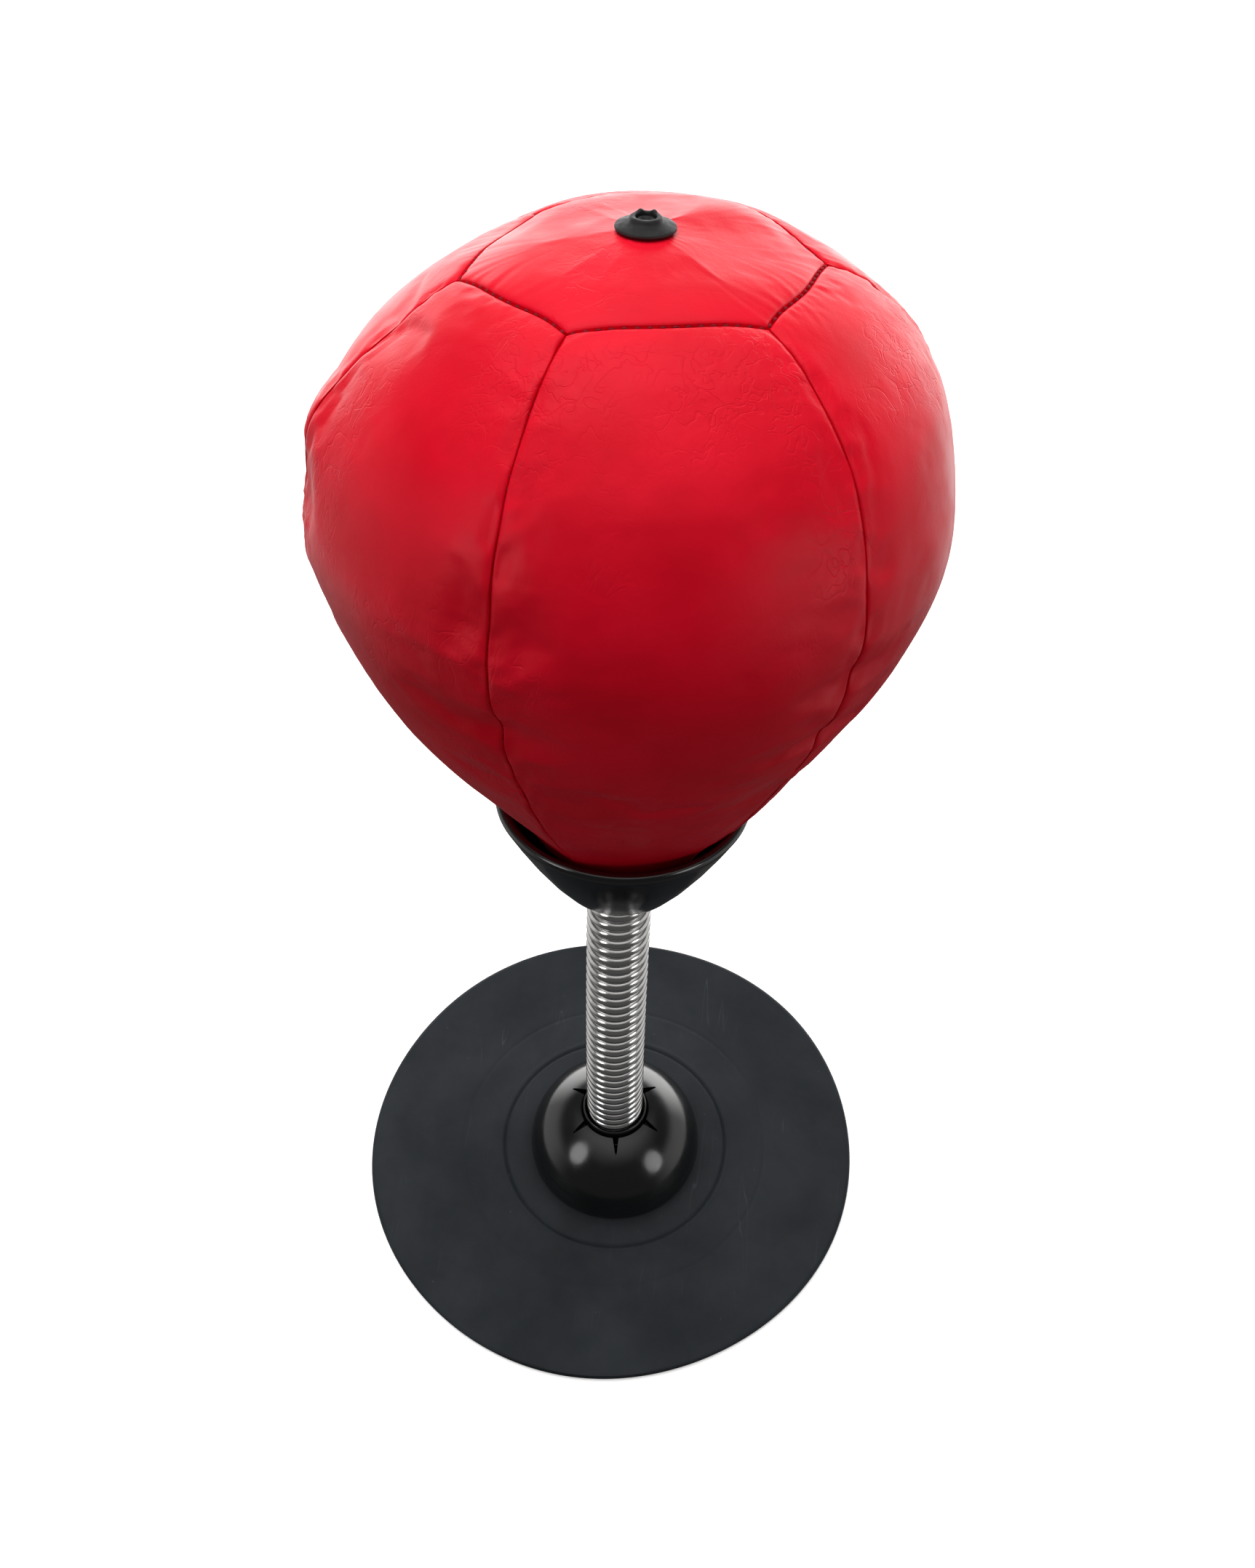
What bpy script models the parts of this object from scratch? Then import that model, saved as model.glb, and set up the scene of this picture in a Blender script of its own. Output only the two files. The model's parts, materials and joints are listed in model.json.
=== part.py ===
"""Desktop punching bag on a suction base.

Metres, +Z up. The origin is the centre of the base's underside, on the desk. The bag stands on a coil
spring that leans back towards +Y, along an arc, and the cup and the ball sit straight on the arc's end.
"""
import math

import bmesh
import bpy
from mathutils import Matrix, Vector

GAP = 0.0003                      # clearance between touching pieces
ROUND = 40                        # facets round a large turned piece
DISC_ROUND = 56                   # facets round the suction disc
SMALL_ROUND = 20                  # facets round a small turned piece
SMOOTH_ANGLE = math.radians(35)
BEVEL = 0.0005                    # moulded edges
FINE_BEVEL = 0.0003               # thin edges
CHAMFER = 0.0004                  # hexagon heads, nuts and bolt tips

# suction disc
DISC_R = 0.080
DISC_EDGE = 0.0022                # thickness at the rim
DISC_TOP = 0.0070                 # height of the flat centre
DISC_FLAT_R = 0.030               # radius of the flat centre, under the dome
DISC_RINGS = (0.070, 0.060, 0.050, 0.043)
DISC_GROOVE_R = 0.0369            # circular groove on the top
DISC_GROOVE_W = 0.0012
DISC_GROOVE_D = 0.0006
PAD_R = 0.018                     # flat pad under the centre
PAD_SLOPE = 0.003                 # width of the pad's sloping side
CHAMBER_R = 0.062                 # vacuum chamber's outer radius
CHAMBER_SLOPE = 0.004             # width of the chamber's sloping side
CHAMBER_H = 0.0022                # vacuum chamber's height
POCKET_R = 0.0143                 # pocket for the stiffener plate
PLATE_T = 0.0015
HEAD_POCKET_R = 0.0050            # blind pocket for the bolt's head
HEAD_H = 0.0030
PAD_T = 0.0016                    # rubber left under the bolt's head

# fasteners
BOLT_R = 0.0020
BOLT_HOLE_R = BOLT_R + GAP
HEAD_R = 0.0046                   # across the corners of a head
NUT_R = 0.0044
NUT_H = 0.0032
WASHER_R = 0.0046
WASHER_T = 0.0008
BASE_BOLT_SPARE = 0.0015          # thread past the nut
CUP_BOLT_SPARE = 0.0012

# dome
DOME_R = 0.0280
DOME_RISE = 0.0265                # height above the disc that the full dome would have
DOME_WALL = 0.0020
DOME_FOOT = 0.0008                # straight foot below the curve
DOME_ROWS = 7
DOME_MOUTH_R = 0.0107
SLIT_COUNT = 6
SLIT_LENGTH = 0.0052
SLIT_WIDTH = 0.0016
SLIT_OVERLAP = 0.0010             # how far a slit's cutter reaches into the mouth
SLIT_TURN = math.radians(-22)     # from +X to the first slit

# coil spring, with heights measured along its centre line
SPRING_R = 0.0090                 # outer radius
WIRE_D = 0.0034
PITCH = 0.0036
PLUG_R = 0.0051
FLANGE_R = 0.0120
FLANGE_T = 0.0018
PLUG_DROP = 0.0090                # from the lowest bend down to the lower plug's top
PLUG_TAIL = 0.0030                # how far the upper plug reaches below the hub
LEAN = math.radians(12)           # how far the bag leans back at rest; 0 is upright
BEND_LOW = 0.0390                 # the spring bends from here
BEND_HIGH = 0.1395                # to here
HUB_AT = 0.1485                   # the cup's hub starts here
HINGES = 8
COIL_STEPS = 10                   # points round one turn
COIL_CUT = 0.0006                 # wire left out on each side of a cut

# foot collar
COLLAR_R = 0.0103
COLLAR_LOW = 0.0262
COLLAR_TOP = 0.0345
COLLAR_LIP = 0.0012               # height of its rounded top edge

# holder cup, with heights measured from the bottom of its hub
HUB_R = 0.0132
HUB_BORE_R = 0.0095
HUB_FLOOR = 0.0098
CUP_FLOOR = 0.0122
RIM_Z = 0.0345
CUP_SIDE = [(HUB_R, 0.0006), (0.0173, 0.0042), (0.0217, 0.0105), (0.0268, 0.0190), (0.0308, 0.0265),
            (0.0336, 0.0322)]
LIP_T = 0.0024                    # height that the rounded lip rises above the side
CUP_STEP = 0.020                  # share of the ball's outline between two rings of its inside
CLAMP_R = 0.0090
CLAMP_T = 0.0020

# ball, in the cup's frame
PANELS = 6
PANEL_TURN = math.radians(15)     # the front panel's middle, from -Y towards +X
PANEL_T = 0.0024                  # leather with its foam backing
SEAM_DEPTH = 0.030                # how far a seam is pulled in, as a share of the radius
SEAM_GAP = 0.00016                # half of the gap between two panels
CAP_R = 0.0372                    # hexagonal top panel, to its front and back corners
CAP_WIDER = 0.07                  # how much further its side corners are, as a share
# radius and height from the foot to the crown, down the middle of a panel
MERIDIAN = [
    (0.0000, 0.0127), (0.0110, 0.0131), (0.0190, 0.0172), (0.0245, 0.0232), (0.0298, 0.0325),
    (0.0425, 0.0500), (0.0575, 0.0755), (0.0690, 0.1010), (0.0742, 0.1255), (0.0662, 0.1530),
    (0.0490, 0.1716), (0.0335, 0.1792), (0.0160, 0.1838), (0.0000, 0.1850),
]
CROWN_TILT = math.radians(3)      # how far the crown has settled back
CROWN_Z = 0.1716                  # the crown is rigid above this height
PATCH_R = 0.0105                  # bottom patch
PANEL_ROWS = 13
PANEL_COLUMNS = 6
CAP_ROWS = 2
BLADDER_T = 0.0012
BLADDER_CLEAR = 0.0006
BLADDER_FOOT = 0.0250
BLADDER_ROWS = 10
BLADDER_ROUND = 28

# valve
VALVE_HOLE_R = 0.0036
VALVE_NECK_R = 0.0032
VALVE_FLANGE_R = 0.0064
VALVE_FLANGE_T = 0.0008
VALVE_BOSS_R = 0.0034
VALVE_BOSS_H = 0.0028
VALVE_REACH = 0.0062              # how far the neck reaches below the crown
VALVE_ROUND = 16
VALVE_CORE_R = 0.0019
NEEDLE_R = 0.0006


def clear_scene():
    for item in list(bpy.data.objects):
        bpy.data.objects.remove(item, do_unlink=True)


def make_material(name, colour, roughness, metallic=0.0):
    material = bpy.data.materials.new(name)
    material.use_nodes = True
    shader = material.node_tree.nodes["Principled BSDF"]
    shader.inputs["Base Color"].default_value = (*colour, 1.0)
    shader.inputs["Roughness"].default_value = roughness
    shader.inputs["Metallic"].default_value = metallic
    return material


def add_object(name, data, material, parent=None):
    item = bpy.data.objects.new(name, data)
    bpy.context.scene.collection.objects.link(item)
    data.materials.append(material)
    item.parent = parent
    return item


def finish_mesh(name, bm, material, parent=None):
    bmesh.ops.recalc_face_normals(bm, faces=bm.faces)
    mesh = bpy.data.meshes.new(name)
    bm.to_mesh(mesh)
    bm.free()
    mesh.shade_smooth()
    mesh.set_sharp_from_angle(angle=SMOOTH_ANGLE)
    return add_object(name, mesh, material, parent)


def turned(name, outline, material, parent=None, steps=ROUND):
    """Turn a closed outline of (radius, height) points about Z."""
    bm = bmesh.new()
    points = [bm.verts.new((r, 0.0, z)) for r, z in outline]
    edges = []
    for first, second in zip(points, points[1:] + points[:1]):
        if first.co.x > 0 or second.co.x > 0:
            edges.append(bm.edges.new((first, second)))
    bmesh.ops.spin(bm, geom=points + edges, cent=(0, 0, 0), axis=(0, 0, 1),
                   angle=math.tau, steps=steps, use_merge=True)
    bmesh.ops.remove_doubles(bm, verts=bm.verts, dist=1e-6)
    return finish_mesh(name, bm, material, parent)


def hexagon(corner_r):
    """Radius of a hexagon at an angle, with its corners at 0, 60, ... degrees."""
    def radius_at(angle):
        from_middle = angle % math.radians(60) - math.radians(30)
        return corner_r * math.cos(math.radians(30)) / math.cos(from_middle)
    return radius_at


def stacked(name, rings, material, parent=None, closed=False, count=12):
    """Join rings of (radius or radius function, height), capped or closed on themselves."""
    bm = bmesh.new()
    loops = []
    for radius, z in rings:
        loop = []
        for i in range(count):
            angle = math.tau * i / count
            r = radius(angle) if callable(radius) else radius
            loop.append(bm.verts.new((r * math.cos(angle), r * math.sin(angle), z)))
        loops.append(loop)
    followers = loops[1:] + loops[:1] if closed else loops[1:]
    for lower, upper in zip(loops, followers):
        for i in range(count):
            j = (i + 1) % count
            bm.faces.new((lower[i], lower[j], upper[j], upper[i]))
    if not closed:
        bm.faces.new(loops[0])
        bm.faces.new(loops[-1])
    return finish_mesh(name, bm, material, parent)


def bolt(name, head_z, tip_z, material, parent=None):
    """Hex bolt: its head starts at head_z and its shank ends at tip_z, above or below it."""
    way = 1 if tip_z > head_z else -1
    under_head = head_z + way * HEAD_H
    rings = [
        (hexagon(HEAD_R - CHAMFER), head_z), (hexagon(HEAD_R), head_z + way * CHAMFER),
        (hexagon(HEAD_R), under_head), (BOLT_R, under_head),
        (BOLT_R, tip_z - way * CHAMFER), (BOLT_R - CHAMFER, tip_z),
    ]
    return stacked(name, rings, material, parent)


def nut(name, low, material, parent=None):
    high = low + NUT_H
    rings = [
        (BOLT_HOLE_R, low), (hexagon(NUT_R - CHAMFER), low), (hexagon(NUT_R), low + CHAMFER),
        (hexagon(NUT_R), high - CHAMFER), (hexagon(NUT_R - CHAMFER), high), (BOLT_HOLE_R, high),
    ]
    return stacked(name, rings, material, parent, closed=True)


def washer(name, low, radius, thickness, material, parent=None):
    outline = [(BOLT_HOLE_R, low), (radius, low), (radius, low + thickness), (BOLT_HOLE_R, low + thickness)]
    return turned(name, outline, material, parent, SMALL_ROUND)


# ---------------------------------------------------------------- centre line and frames

def lean_at(height):
    """Lean of the spring's centre line at a height measured along it."""
    share = (height - BEND_LOW) / (BEND_HIGH - BEND_LOW)
    return LEAN * min(max(share, 0.0), 1.0)


def centre_at(height):
    """Point of the centre line: straight, then an arc in the YZ plane, then straight again."""
    if height <= BEND_LOW or LEAN == 0:
        return Vector((0, 0, height))
    arc_r = (BEND_HIGH - BEND_LOW) / LEAN
    lean = lean_at(height)
    past = max(height - BEND_HIGH, 0.0)
    y = arc_r * (1 - math.cos(lean)) + past * math.sin(lean)
    z = BEND_LOW + arc_r * math.sin(lean) + past * math.cos(lean)
    return Vector((0, y, z))


def frame_at(height):
    return Matrix.Translation(centre_at(height)) @ Matrix.Rotation(-lean_at(height), 4, "X")


def add_frame(name, height, parent=None):
    """An empty on the centre line, turned with it."""
    frame = bpy.data.objects.new(name, None)
    bpy.context.scene.collection.objects.link(frame)
    frame.empty_display_size = 0.01
    frame.parent = parent
    world = frame_at(height)
    frame["height"] = height
    frame.matrix_basis = frame_at(parent["height"]).inverted() @ world if parent else world
    return frame


def hinge_height(index):
    """Height of a hinge of the bending spring, index 0 being the lowest."""
    return BEND_LOW + (index + 0.5) * (BEND_HIGH - BEND_LOW) / HINGES


# ---------------------------------------------------------------- base

def make_suction_disc(material):
    groove_in = DISC_GROOVE_R - DISC_GROOVE_W / 2
    groove_out = DISC_GROOVE_R + DISC_GROOVE_W / 2

    def top_at(r):
        share = (r - DISC_FLAT_R) / (DISC_R - DISC_FLAT_R)
        return DISC_TOP - (DISC_TOP - DISC_EDGE) * math.sin(share * math.pi / 2) ** 1.2

    plate_seat = PAD_T + GAP + HEAD_H
    outline = [(0, 0), (PAD_R, 0), (PAD_R + PAD_SLOPE, CHAMBER_H),
               (CHAMBER_R - CHAMBER_SLOPE, CHAMBER_H), (CHAMBER_R, 0),
               (DISC_R - BEVEL, 0), (DISC_R, BEVEL), (DISC_R, DISC_EDGE - BEVEL)]
    outline += [(r, top_at(r)) for r in (DISC_R - 2 * BEVEL, *DISC_RINGS)]
    outline += [(groove_out, top_at(groove_out)), (DISC_GROOVE_R, top_at(DISC_GROOVE_R) - DISC_GROOVE_D),
                (groove_in, top_at(groove_in)), (DISC_FLAT_R, DISC_TOP), (POCKET_R, DISC_TOP),
                (POCKET_R, plate_seat), (HEAD_POCKET_R, plate_seat), (HEAD_POCKET_R, PAD_T), (0, PAD_T)]
    return turned("suction_disc", outline, material, steps=DISC_ROUND)


def make_dome(material):
    """Hollow dome with a floor that the plug clamps down, open at its mouth and slit round it."""
    foot = DISC_TOP + GAP
    floor_top = foot + FLANGE_T
    mouth_angle = math.acos(DOME_MOUTH_R / DOME_R)
    outer = []
    inner = []
    for i in range(DOME_ROWS + 1):
        angle = mouth_angle * i / DOME_ROWS
        outer.append((DOME_R * math.cos(angle), foot + DOME_FOOT + DOME_RISE * math.sin(angle)))
    inner_r = DOME_R - DOME_WALL
    inner_mouth = math.acos(DOME_MOUTH_R / inner_r)
    for i in range(DOME_ROWS):
        angle = inner_mouth * (DOME_ROWS - i) / DOME_ROWS
        inner.append((inner_r * math.cos(angle), foot + (DOME_RISE - DOME_WALL) * math.sin(angle)))
    inner = [point for point in inner if point[1] > floor_top]
    outline = [(BOLT_HOLE_R, foot), (DOME_R - FINE_BEVEL, foot)] + outer + inner
    outline += [(inner_r, floor_top), (BOLT_HOLE_R, floor_top)]
    dome = turned("base_dome", outline, material)

    bm = bmesh.new()
    reach = SLIT_LENGTH + SLIT_OVERLAP
    for i in range(SLIT_COUNT):
        turn = Matrix.Rotation(SLIT_TURN + math.tau * i / SLIT_COUNT, 4, "Z")
        middle = Vector((DOME_MOUTH_R - SLIT_OVERLAP + reach / 2, 0, foot + DOME_RISE * 0.9))
        size = Matrix.Diagonal((reach, SLIT_WIDTH, DOME_RISE * 0.6, 1))
        bmesh.ops.create_cube(bm, size=1, matrix=turn @ Matrix.Translation(middle) @ size)
    cutter_mesh = bpy.data.meshes.new("slit_cutter")
    bm.to_mesh(cutter_mesh)
    bm.free()
    cutter = add_object("slit_cutter", cutter_mesh, material)
    cutter.hide_render = True
    cutter.display_type = "WIRE"
    cut = dome.modifiers.new("slits", "BOOLEAN")
    cut.operation = "DIFFERENCE"
    cut.object = cutter
    cut.solver = "EXACT"
    return dome


def make_lower_plug(material):
    low = DISC_TOP + GAP + FLANGE_T + GAP
    top = BEND_LOW - PLUG_DROP
    outline = [(BOLT_HOLE_R, low), (FLANGE_R, low), (FLANGE_R, low + FLANGE_T), (PLUG_R, low + FLANGE_T),
               (PLUG_R, top - BEVEL), (PLUG_R - BEVEL, top), (BOLT_HOLE_R, top)]
    turned("lower_spring_plug", outline, material, steps=SMALL_ROUND)
    return low + FLANGE_T, top


def make_base_fasteners(steel, plug_top):
    plate_low = PAD_T + GAP + HEAD_H + GAP
    washer("stiffener_plate", plate_low, POCKET_R - GAP, PLATE_T, steel)
    washer("base_washer", plug_top + GAP, WASHER_R, WASHER_T, steel)
    nut_low = plug_top + GAP + WASHER_T + GAP
    nut("base_nut", nut_low, steel)
    bolt("base_bolt", PAD_T + GAP, nut_low + NUT_H + BASE_BOLT_SPARE, steel)


def make_foot_collar(material):
    inner = SPRING_R + 2 * GAP
    middle = (inner + COLLAR_R) / 2
    outline = [(inner, COLLAR_LOW), (COLLAR_R, COLLAR_LOW), (COLLAR_R, COLLAR_TOP - COLLAR_LIP),
               (middle, COLLAR_TOP), (inner, COLLAR_TOP - COLLAR_LIP / 2)]
    turned("foot_collar", outline, material, steps=SMALL_ROUND)


# ---------------------------------------------------------------- spring

def make_coil(name, first, last, start, material, frame, frame_height):
    """Wire between two turn counts of the coil, in the frame of the hinge it hangs on."""
    to_frame = frame_at(frame_height).inverted()
    wire_r = WIRE_D / 2
    count = max(4, round((last - first) * COIL_STEPS))
    curve = bpy.data.curves.new(name, "CURVE")
    curve.dimensions = "3D"
    curve.bevel_depth = wire_r
    curve.bevel_resolution = 1
    curve.use_fill_caps = True
    spline = curve.splines.new("POLY")
    spline.points.add(count)
    for i, point in enumerate(spline.points):
        turn = first + (last - first) * i / count
        height = start + turn * PITCH
        angle = math.tau * turn
        coil_r = SPRING_R - wire_r
        around = Vector((coil_r * math.cos(angle), coil_r * math.sin(angle), 0))
        point.co = (*(to_frame @ frame_at(height) @ around), 1)
    spline.use_smooth = True
    return add_object(name, curve, material, frame)


def make_spring(material, seat, frames):
    """The spring, cut at the middle of each bending stretch, where one hinge meets the next."""
    wire_r = WIRE_D / 2
    start = seat + GAP + wire_r
    end = HUB_AT + HUB_FLOOR - GAP - wire_r
    cut = COIL_CUT / (math.tau * (SPRING_R - wire_r))
    turns = [0.0] + [(hinge_height(i) - start) / PITCH for i in range(HINGES)] + [(end - start) / PITCH]
    names = ["spring_foot"] + [f"spring_section_{i}" for i in range(1, HINGES)] + ["spring_head"]
    heights = [0.0] + [hinge_height(i) for i in range(HINGES)]
    for i, name in enumerate(names):
        first = turns[i] + (cut if i else 0)
        last = turns[i + 1] - (cut if i < HINGES else 0)
        make_coil(name, first, last, start, material, frames[i], heights[i])


# ---------------------------------------------------------------- ball's shape

def meridian_lengths():
    lengths = [0.0]
    for (r0, z0), (r1, z1) in zip(MERIDIAN, MERIDIAN[1:]):
        lengths.append(lengths[-1] + math.hypot(r1 - r0, z1 - z0))
    return lengths


MERIDIAN_AT = meridian_lengths()


def meridian_knot(index):
    """Point and distance of a knot, mirrored past the foot and the crown."""
    last = len(MERIDIAN) - 1
    if index < 0:
        return Vector((-MERIDIAN[-index][0], MERIDIAN[-index][1])), -MERIDIAN_AT[-index]
    if index > last:
        mirror = 2 * last - index
        return (Vector((-MERIDIAN[mirror][0], MERIDIAN[mirror][1])),
                2 * MERIDIAN_AT[last] - MERIDIAN_AT[mirror])
    return Vector(MERIDIAN[index]), MERIDIAN_AT[index]


def meridian(share):
    """Radius and height at a share of the way from the foot to the crown, on a smooth curve."""
    at = min(max(share, 0.0), 1.0) * MERIDIAN_AT[-1]
    index = 0
    while index < len(MERIDIAN) - 2 and at > MERIDIAN_AT[index + 1]:
        index += 1
    (p0, d0), (p1, d1), (p2, d2), (p3, d3) = [meridian_knot(index + k) for k in (-1, 0, 1, 2)]
    span = d2 - d1
    x = (at - d1) / span
    out = (p2 - p0) / (d2 - d0) * span
    into = (p3 - p1) / (d3 - d1) * span
    return ((2 * x**3 - 3 * x**2 + 1) * p1 + (x**3 - 2 * x**2 + x) * out
            + (3 * x**2 - 2 * x**3) * p2 + (x**3 - x**2) * into)


def meridian_offset(share, depth):
    """A meridian point moved inwards by a depth, square to the surface."""
    step = 0.002
    along = (meridian(min(share + step, 1)) - meridian(max(share - step, 0))).normalized()
    return meridian(share) + depth * Vector((-along.y, along.x))


def share_at_radius(radius, low, high):
    """Share at which the meridian has a radius, between two shares that bracket it."""
    rising = meridian(high).x > meridian(low).x
    for _ in range(40):
        middle = (low + high) / 2
        if (meridian(middle).x < radius) == rising:
            low = middle
        else:
            high = middle
    return (low + high) / 2


WIDEST = max((i / 200 for i in range(201)), key=lambda share: meridian(share).x)


def cap_outline(angle):
    """Radius of the hexagonal top panel, at an angle from the front panel's middle."""
    return hexagon(CAP_R)(angle + math.radians(30)) * (1 + CAP_WIDER * math.sin(angle) ** 2)


def ball_point(angle, share, depth, seam_pull):
    """Point of the ball at an angle from its panel's middle, moved inwards by a depth."""
    r, z = meridian_offset(share, depth)
    from_middle = (angle + math.radians(30)) % math.radians(60) - math.radians(30)
    pull = SEAM_DEPTH * seam_pull * (from_middle / math.radians(30)) ** 2
    around = PANEL_TURN - math.pi / 2 + angle
    return Vector(((r * (1 - pull)) * math.cos(around), (r * (1 - pull)) * math.sin(around), z))


def settle_crown(item):
    """Tip the ball's upper part back, smoothly from its widest level up to the crown."""
    low = meridian(WIDEST).y
    for vertex in item.data.vertices:
        x = min(max((vertex.co.z - low) / (CROWN_Z - low), 0.0), 1.0)
        turn = Matrix.Rotation(-CROWN_TILT * x * x * (3 - 2 * x), 3, "X")
        level = Vector((0, 0, low))
        vertex.co = level + turn @ (vertex.co - level)
    return item


# ---------------------------------------------------------------- bag

def make_cup(material, parent):
    """Flared cup on a hub: its inside follows the ball's foot."""
    clear = 2 * GAP
    share = share_at_radius(PATCH_R + 3 * BEVEL, 0, WIDEST)
    inner = []
    while meridian(share).y < RIM_Z:
        inner.append(tuple(meridian_offset(share, -clear)))
        share += CUP_STEP
    side_r, side_z = CUP_SIDE[-1]
    lip = [(side_r - FINE_BEVEL, side_z + LIP_T * 0.45), (side_r - 2 * BEVEL, side_z + LIP_T * 0.7)]
    outline = [(HUB_BORE_R, BEVEL), (HUB_BORE_R + BEVEL, 0), (HUB_R - BEVEL, 0)]
    outline += CUP_SIDE + lip + inner[::-1]
    outline += [(PATCH_R - 2 * BEVEL, CUP_FLOOR), (BOLT_HOLE_R, CUP_FLOOR), (BOLT_HOLE_R, HUB_FLOOR),
                (HUB_BORE_R, HUB_FLOOR)]
    return turned("holder_cup", outline, material, parent)


def make_upper_plug(material, parent):
    top = HUB_FLOOR - GAP
    outline = [(BOLT_HOLE_R, -PLUG_TAIL), (PLUG_R - BEVEL, -PLUG_TAIL), (PLUG_R, BEVEL - PLUG_TAIL),
               (PLUG_R, top), (BOLT_HOLE_R, top)]
    turned("upper_spring_plug", outline, material, parent, SMALL_ROUND)


def make_cup_fasteners(steel, plastic, parent):
    washer_low = -PLUG_TAIL - GAP - WASHER_T
    nut_low = washer_low - GAP - NUT_H
    patch_edge = meridian_offset(share_at_radius(PATCH_R, 0, WIDEST), PANEL_T)
    clamp_low = patch_edge.y + GAP
    washer("cup_washer", washer_low, WASHER_R, WASHER_T, steel, parent)
    nut("cup_nut", nut_low, steel, parent)
    washer("clamp_disc", clamp_low, CLAMP_R, CLAMP_T, plastic, parent)
    bolt("cup_bolt", clamp_low + CLAMP_T + GAP + HEAD_H, nut_low - CUP_BOLT_SPARE, steel, parent)


def make_bottom_patch(material, parent):
    last = share_at_radius(PATCH_R, 0, WIDEST)
    first = share_at_radius(BOLT_HOLE_R, 0, WIDEST)
    shares = [first + (last - first) * i / 2 for i in range(3)]
    outer = [tuple(meridian_offset(share, 0)) for share in shares]
    inner = [tuple(meridian_offset(share, PANEL_T)) for share in shares]
    turned("bottom_patch", outer + inner[::-1], material, parent, SMALL_ROUND)


def slab(name, rows, columns, point, ring, material, parent):
    """Closed thin solid between an outer grid (layer 0) and an inner grid (layer 1)."""
    bm = bmesh.new()
    grid = [[[bm.verts.new(point(i, j, layer)) for j in range(columns)] for i in range(rows)]
            for layer in (0, 1)]
    steps = columns if ring else columns - 1
    for layer in (0, 1):
        for i in range(rows - 1):
            for j in range(steps):
                k = (j + 1) % columns
                bm.faces.new((grid[layer][i][j], grid[layer][i][k],
                              grid[layer][i + 1][k], grid[layer][i + 1][j]))
    for i in (0, rows - 1):
        for j in range(steps):
            k = (j + 1) % columns
            bm.faces.new((grid[0][i][j], grid[0][i][k], grid[1][i][k], grid[1][i][j]))
    if not ring:
        for j in (0, columns - 1):
            for i in range(rows - 1):
                bm.faces.new((grid[0][i][j], grid[0][i + 1][j], grid[1][i + 1][j], grid[1][i][j]))
    return finish_mesh(name, bm, material, parent)


def make_panel(index, material, parent):
    half = math.pi / PANELS
    centre = index * math.tau / PANELS
    foot = share_at_radius(PATCH_R + GAP, 0, WIDEST)

    def point(i, j, layer):
        angle = half * (2 * j / PANEL_COLUMNS - 1)
        crown = share_at_radius(cap_outline(centre + angle) + GAP, WIDEST, 1)
        along = i / (PANEL_ROWS - 1)
        share = foot + (crown - foot) * along
        place = ball_point(centre + angle, share, PANEL_T * layer, math.sin(math.pi * along))
        if j in (0, PANEL_COLUMNS):
            around = PANEL_TURN - math.pi / 2 + centre + angle
            side = 1 if j == 0 else -1
            place += side * SEAM_GAP * Vector((-math.sin(around), math.cos(around), 0))
        return place

    return slab(f"panel_{index + 1}", PANEL_ROWS, PANEL_COLUMNS + 1, point, False, material, parent)


def make_top_cap(material, parent):
    columns = PANELS * PANEL_COLUMNS

    def point(i, j, layer):
        angle = math.tau * j / columns - math.pi / PANELS
        edge = cap_outline(angle)
        radius = VALVE_HOLE_R + (edge - VALVE_HOLE_R) * i / CAP_ROWS
        return ball_point(angle, share_at_radius(radius, WIDEST, 1), PANEL_T * layer, 0)

    return slab("top_cap", CAP_ROWS + 1, columns, point, True, material, parent)


def make_bladder(material, parent):
    """Air bladder: one skin, open at the valve."""
    depth = PANEL_T + BLADDER_CLEAR
    top = share_at_radius(VALVE_HOLE_R + 0.0012, WIDEST, 1)
    low = 0.0
    while meridian_offset(low, depth)[1] < BLADDER_FOOT:
        low += 0.005
    shares = [low + (top - low) * i / BLADDER_ROWS for i in range(BLADDER_ROWS + 1)]

    def skin(extra):
        points = [meridian_offset(share, depth + extra) for share in shares]
        return [(r * (1 - SEAM_DEPTH), z) for r, z in points]

    outer = skin(0)
    inner = skin(BLADDER_T)
    outline = [(0, outer[0][1])] + outer + inner[::-1] + [(0, inner[0][1])]
    return turned("bladder", outline, material, parent, steps=BLADDER_ROUND)


def make_valve(rubber, plastic, parent):
    crown = MERIDIAN[-1][1]
    seat = crown + GAP
    bore = VALVE_CORE_R + GAP
    foot = crown - VALVE_REACH
    boss_top = seat + VALVE_BOSS_H
    outline = [(bore, foot), (VALVE_NECK_R, foot), (VALVE_NECK_R, seat),
               (VALVE_FLANGE_R - FINE_BEVEL, seat), (VALVE_FLANGE_R, seat + FINE_BEVEL),
               (VALVE_FLANGE_R - BEVEL, seat + VALVE_FLANGE_T),
               (VALVE_BOSS_R, boss_top - BEVEL), (VALVE_BOSS_R - BEVEL, boss_top), (bore, boss_top)]
    flange = turned("valve_flange", outline, rubber, parent, SMALL_ROUND)
    top = boss_top - GAP
    outline = [(NEEDLE_R, foot + BEVEL), (VALVE_CORE_R, foot + BEVEL), (VALVE_CORE_R, top),
               (NEEDLE_R + CHAMFER, top), (NEEDLE_R, top - CHAMFER)]
    return [flange, turned("valve_core", outline, plastic, parent, VALVE_ROUND)]


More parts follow.
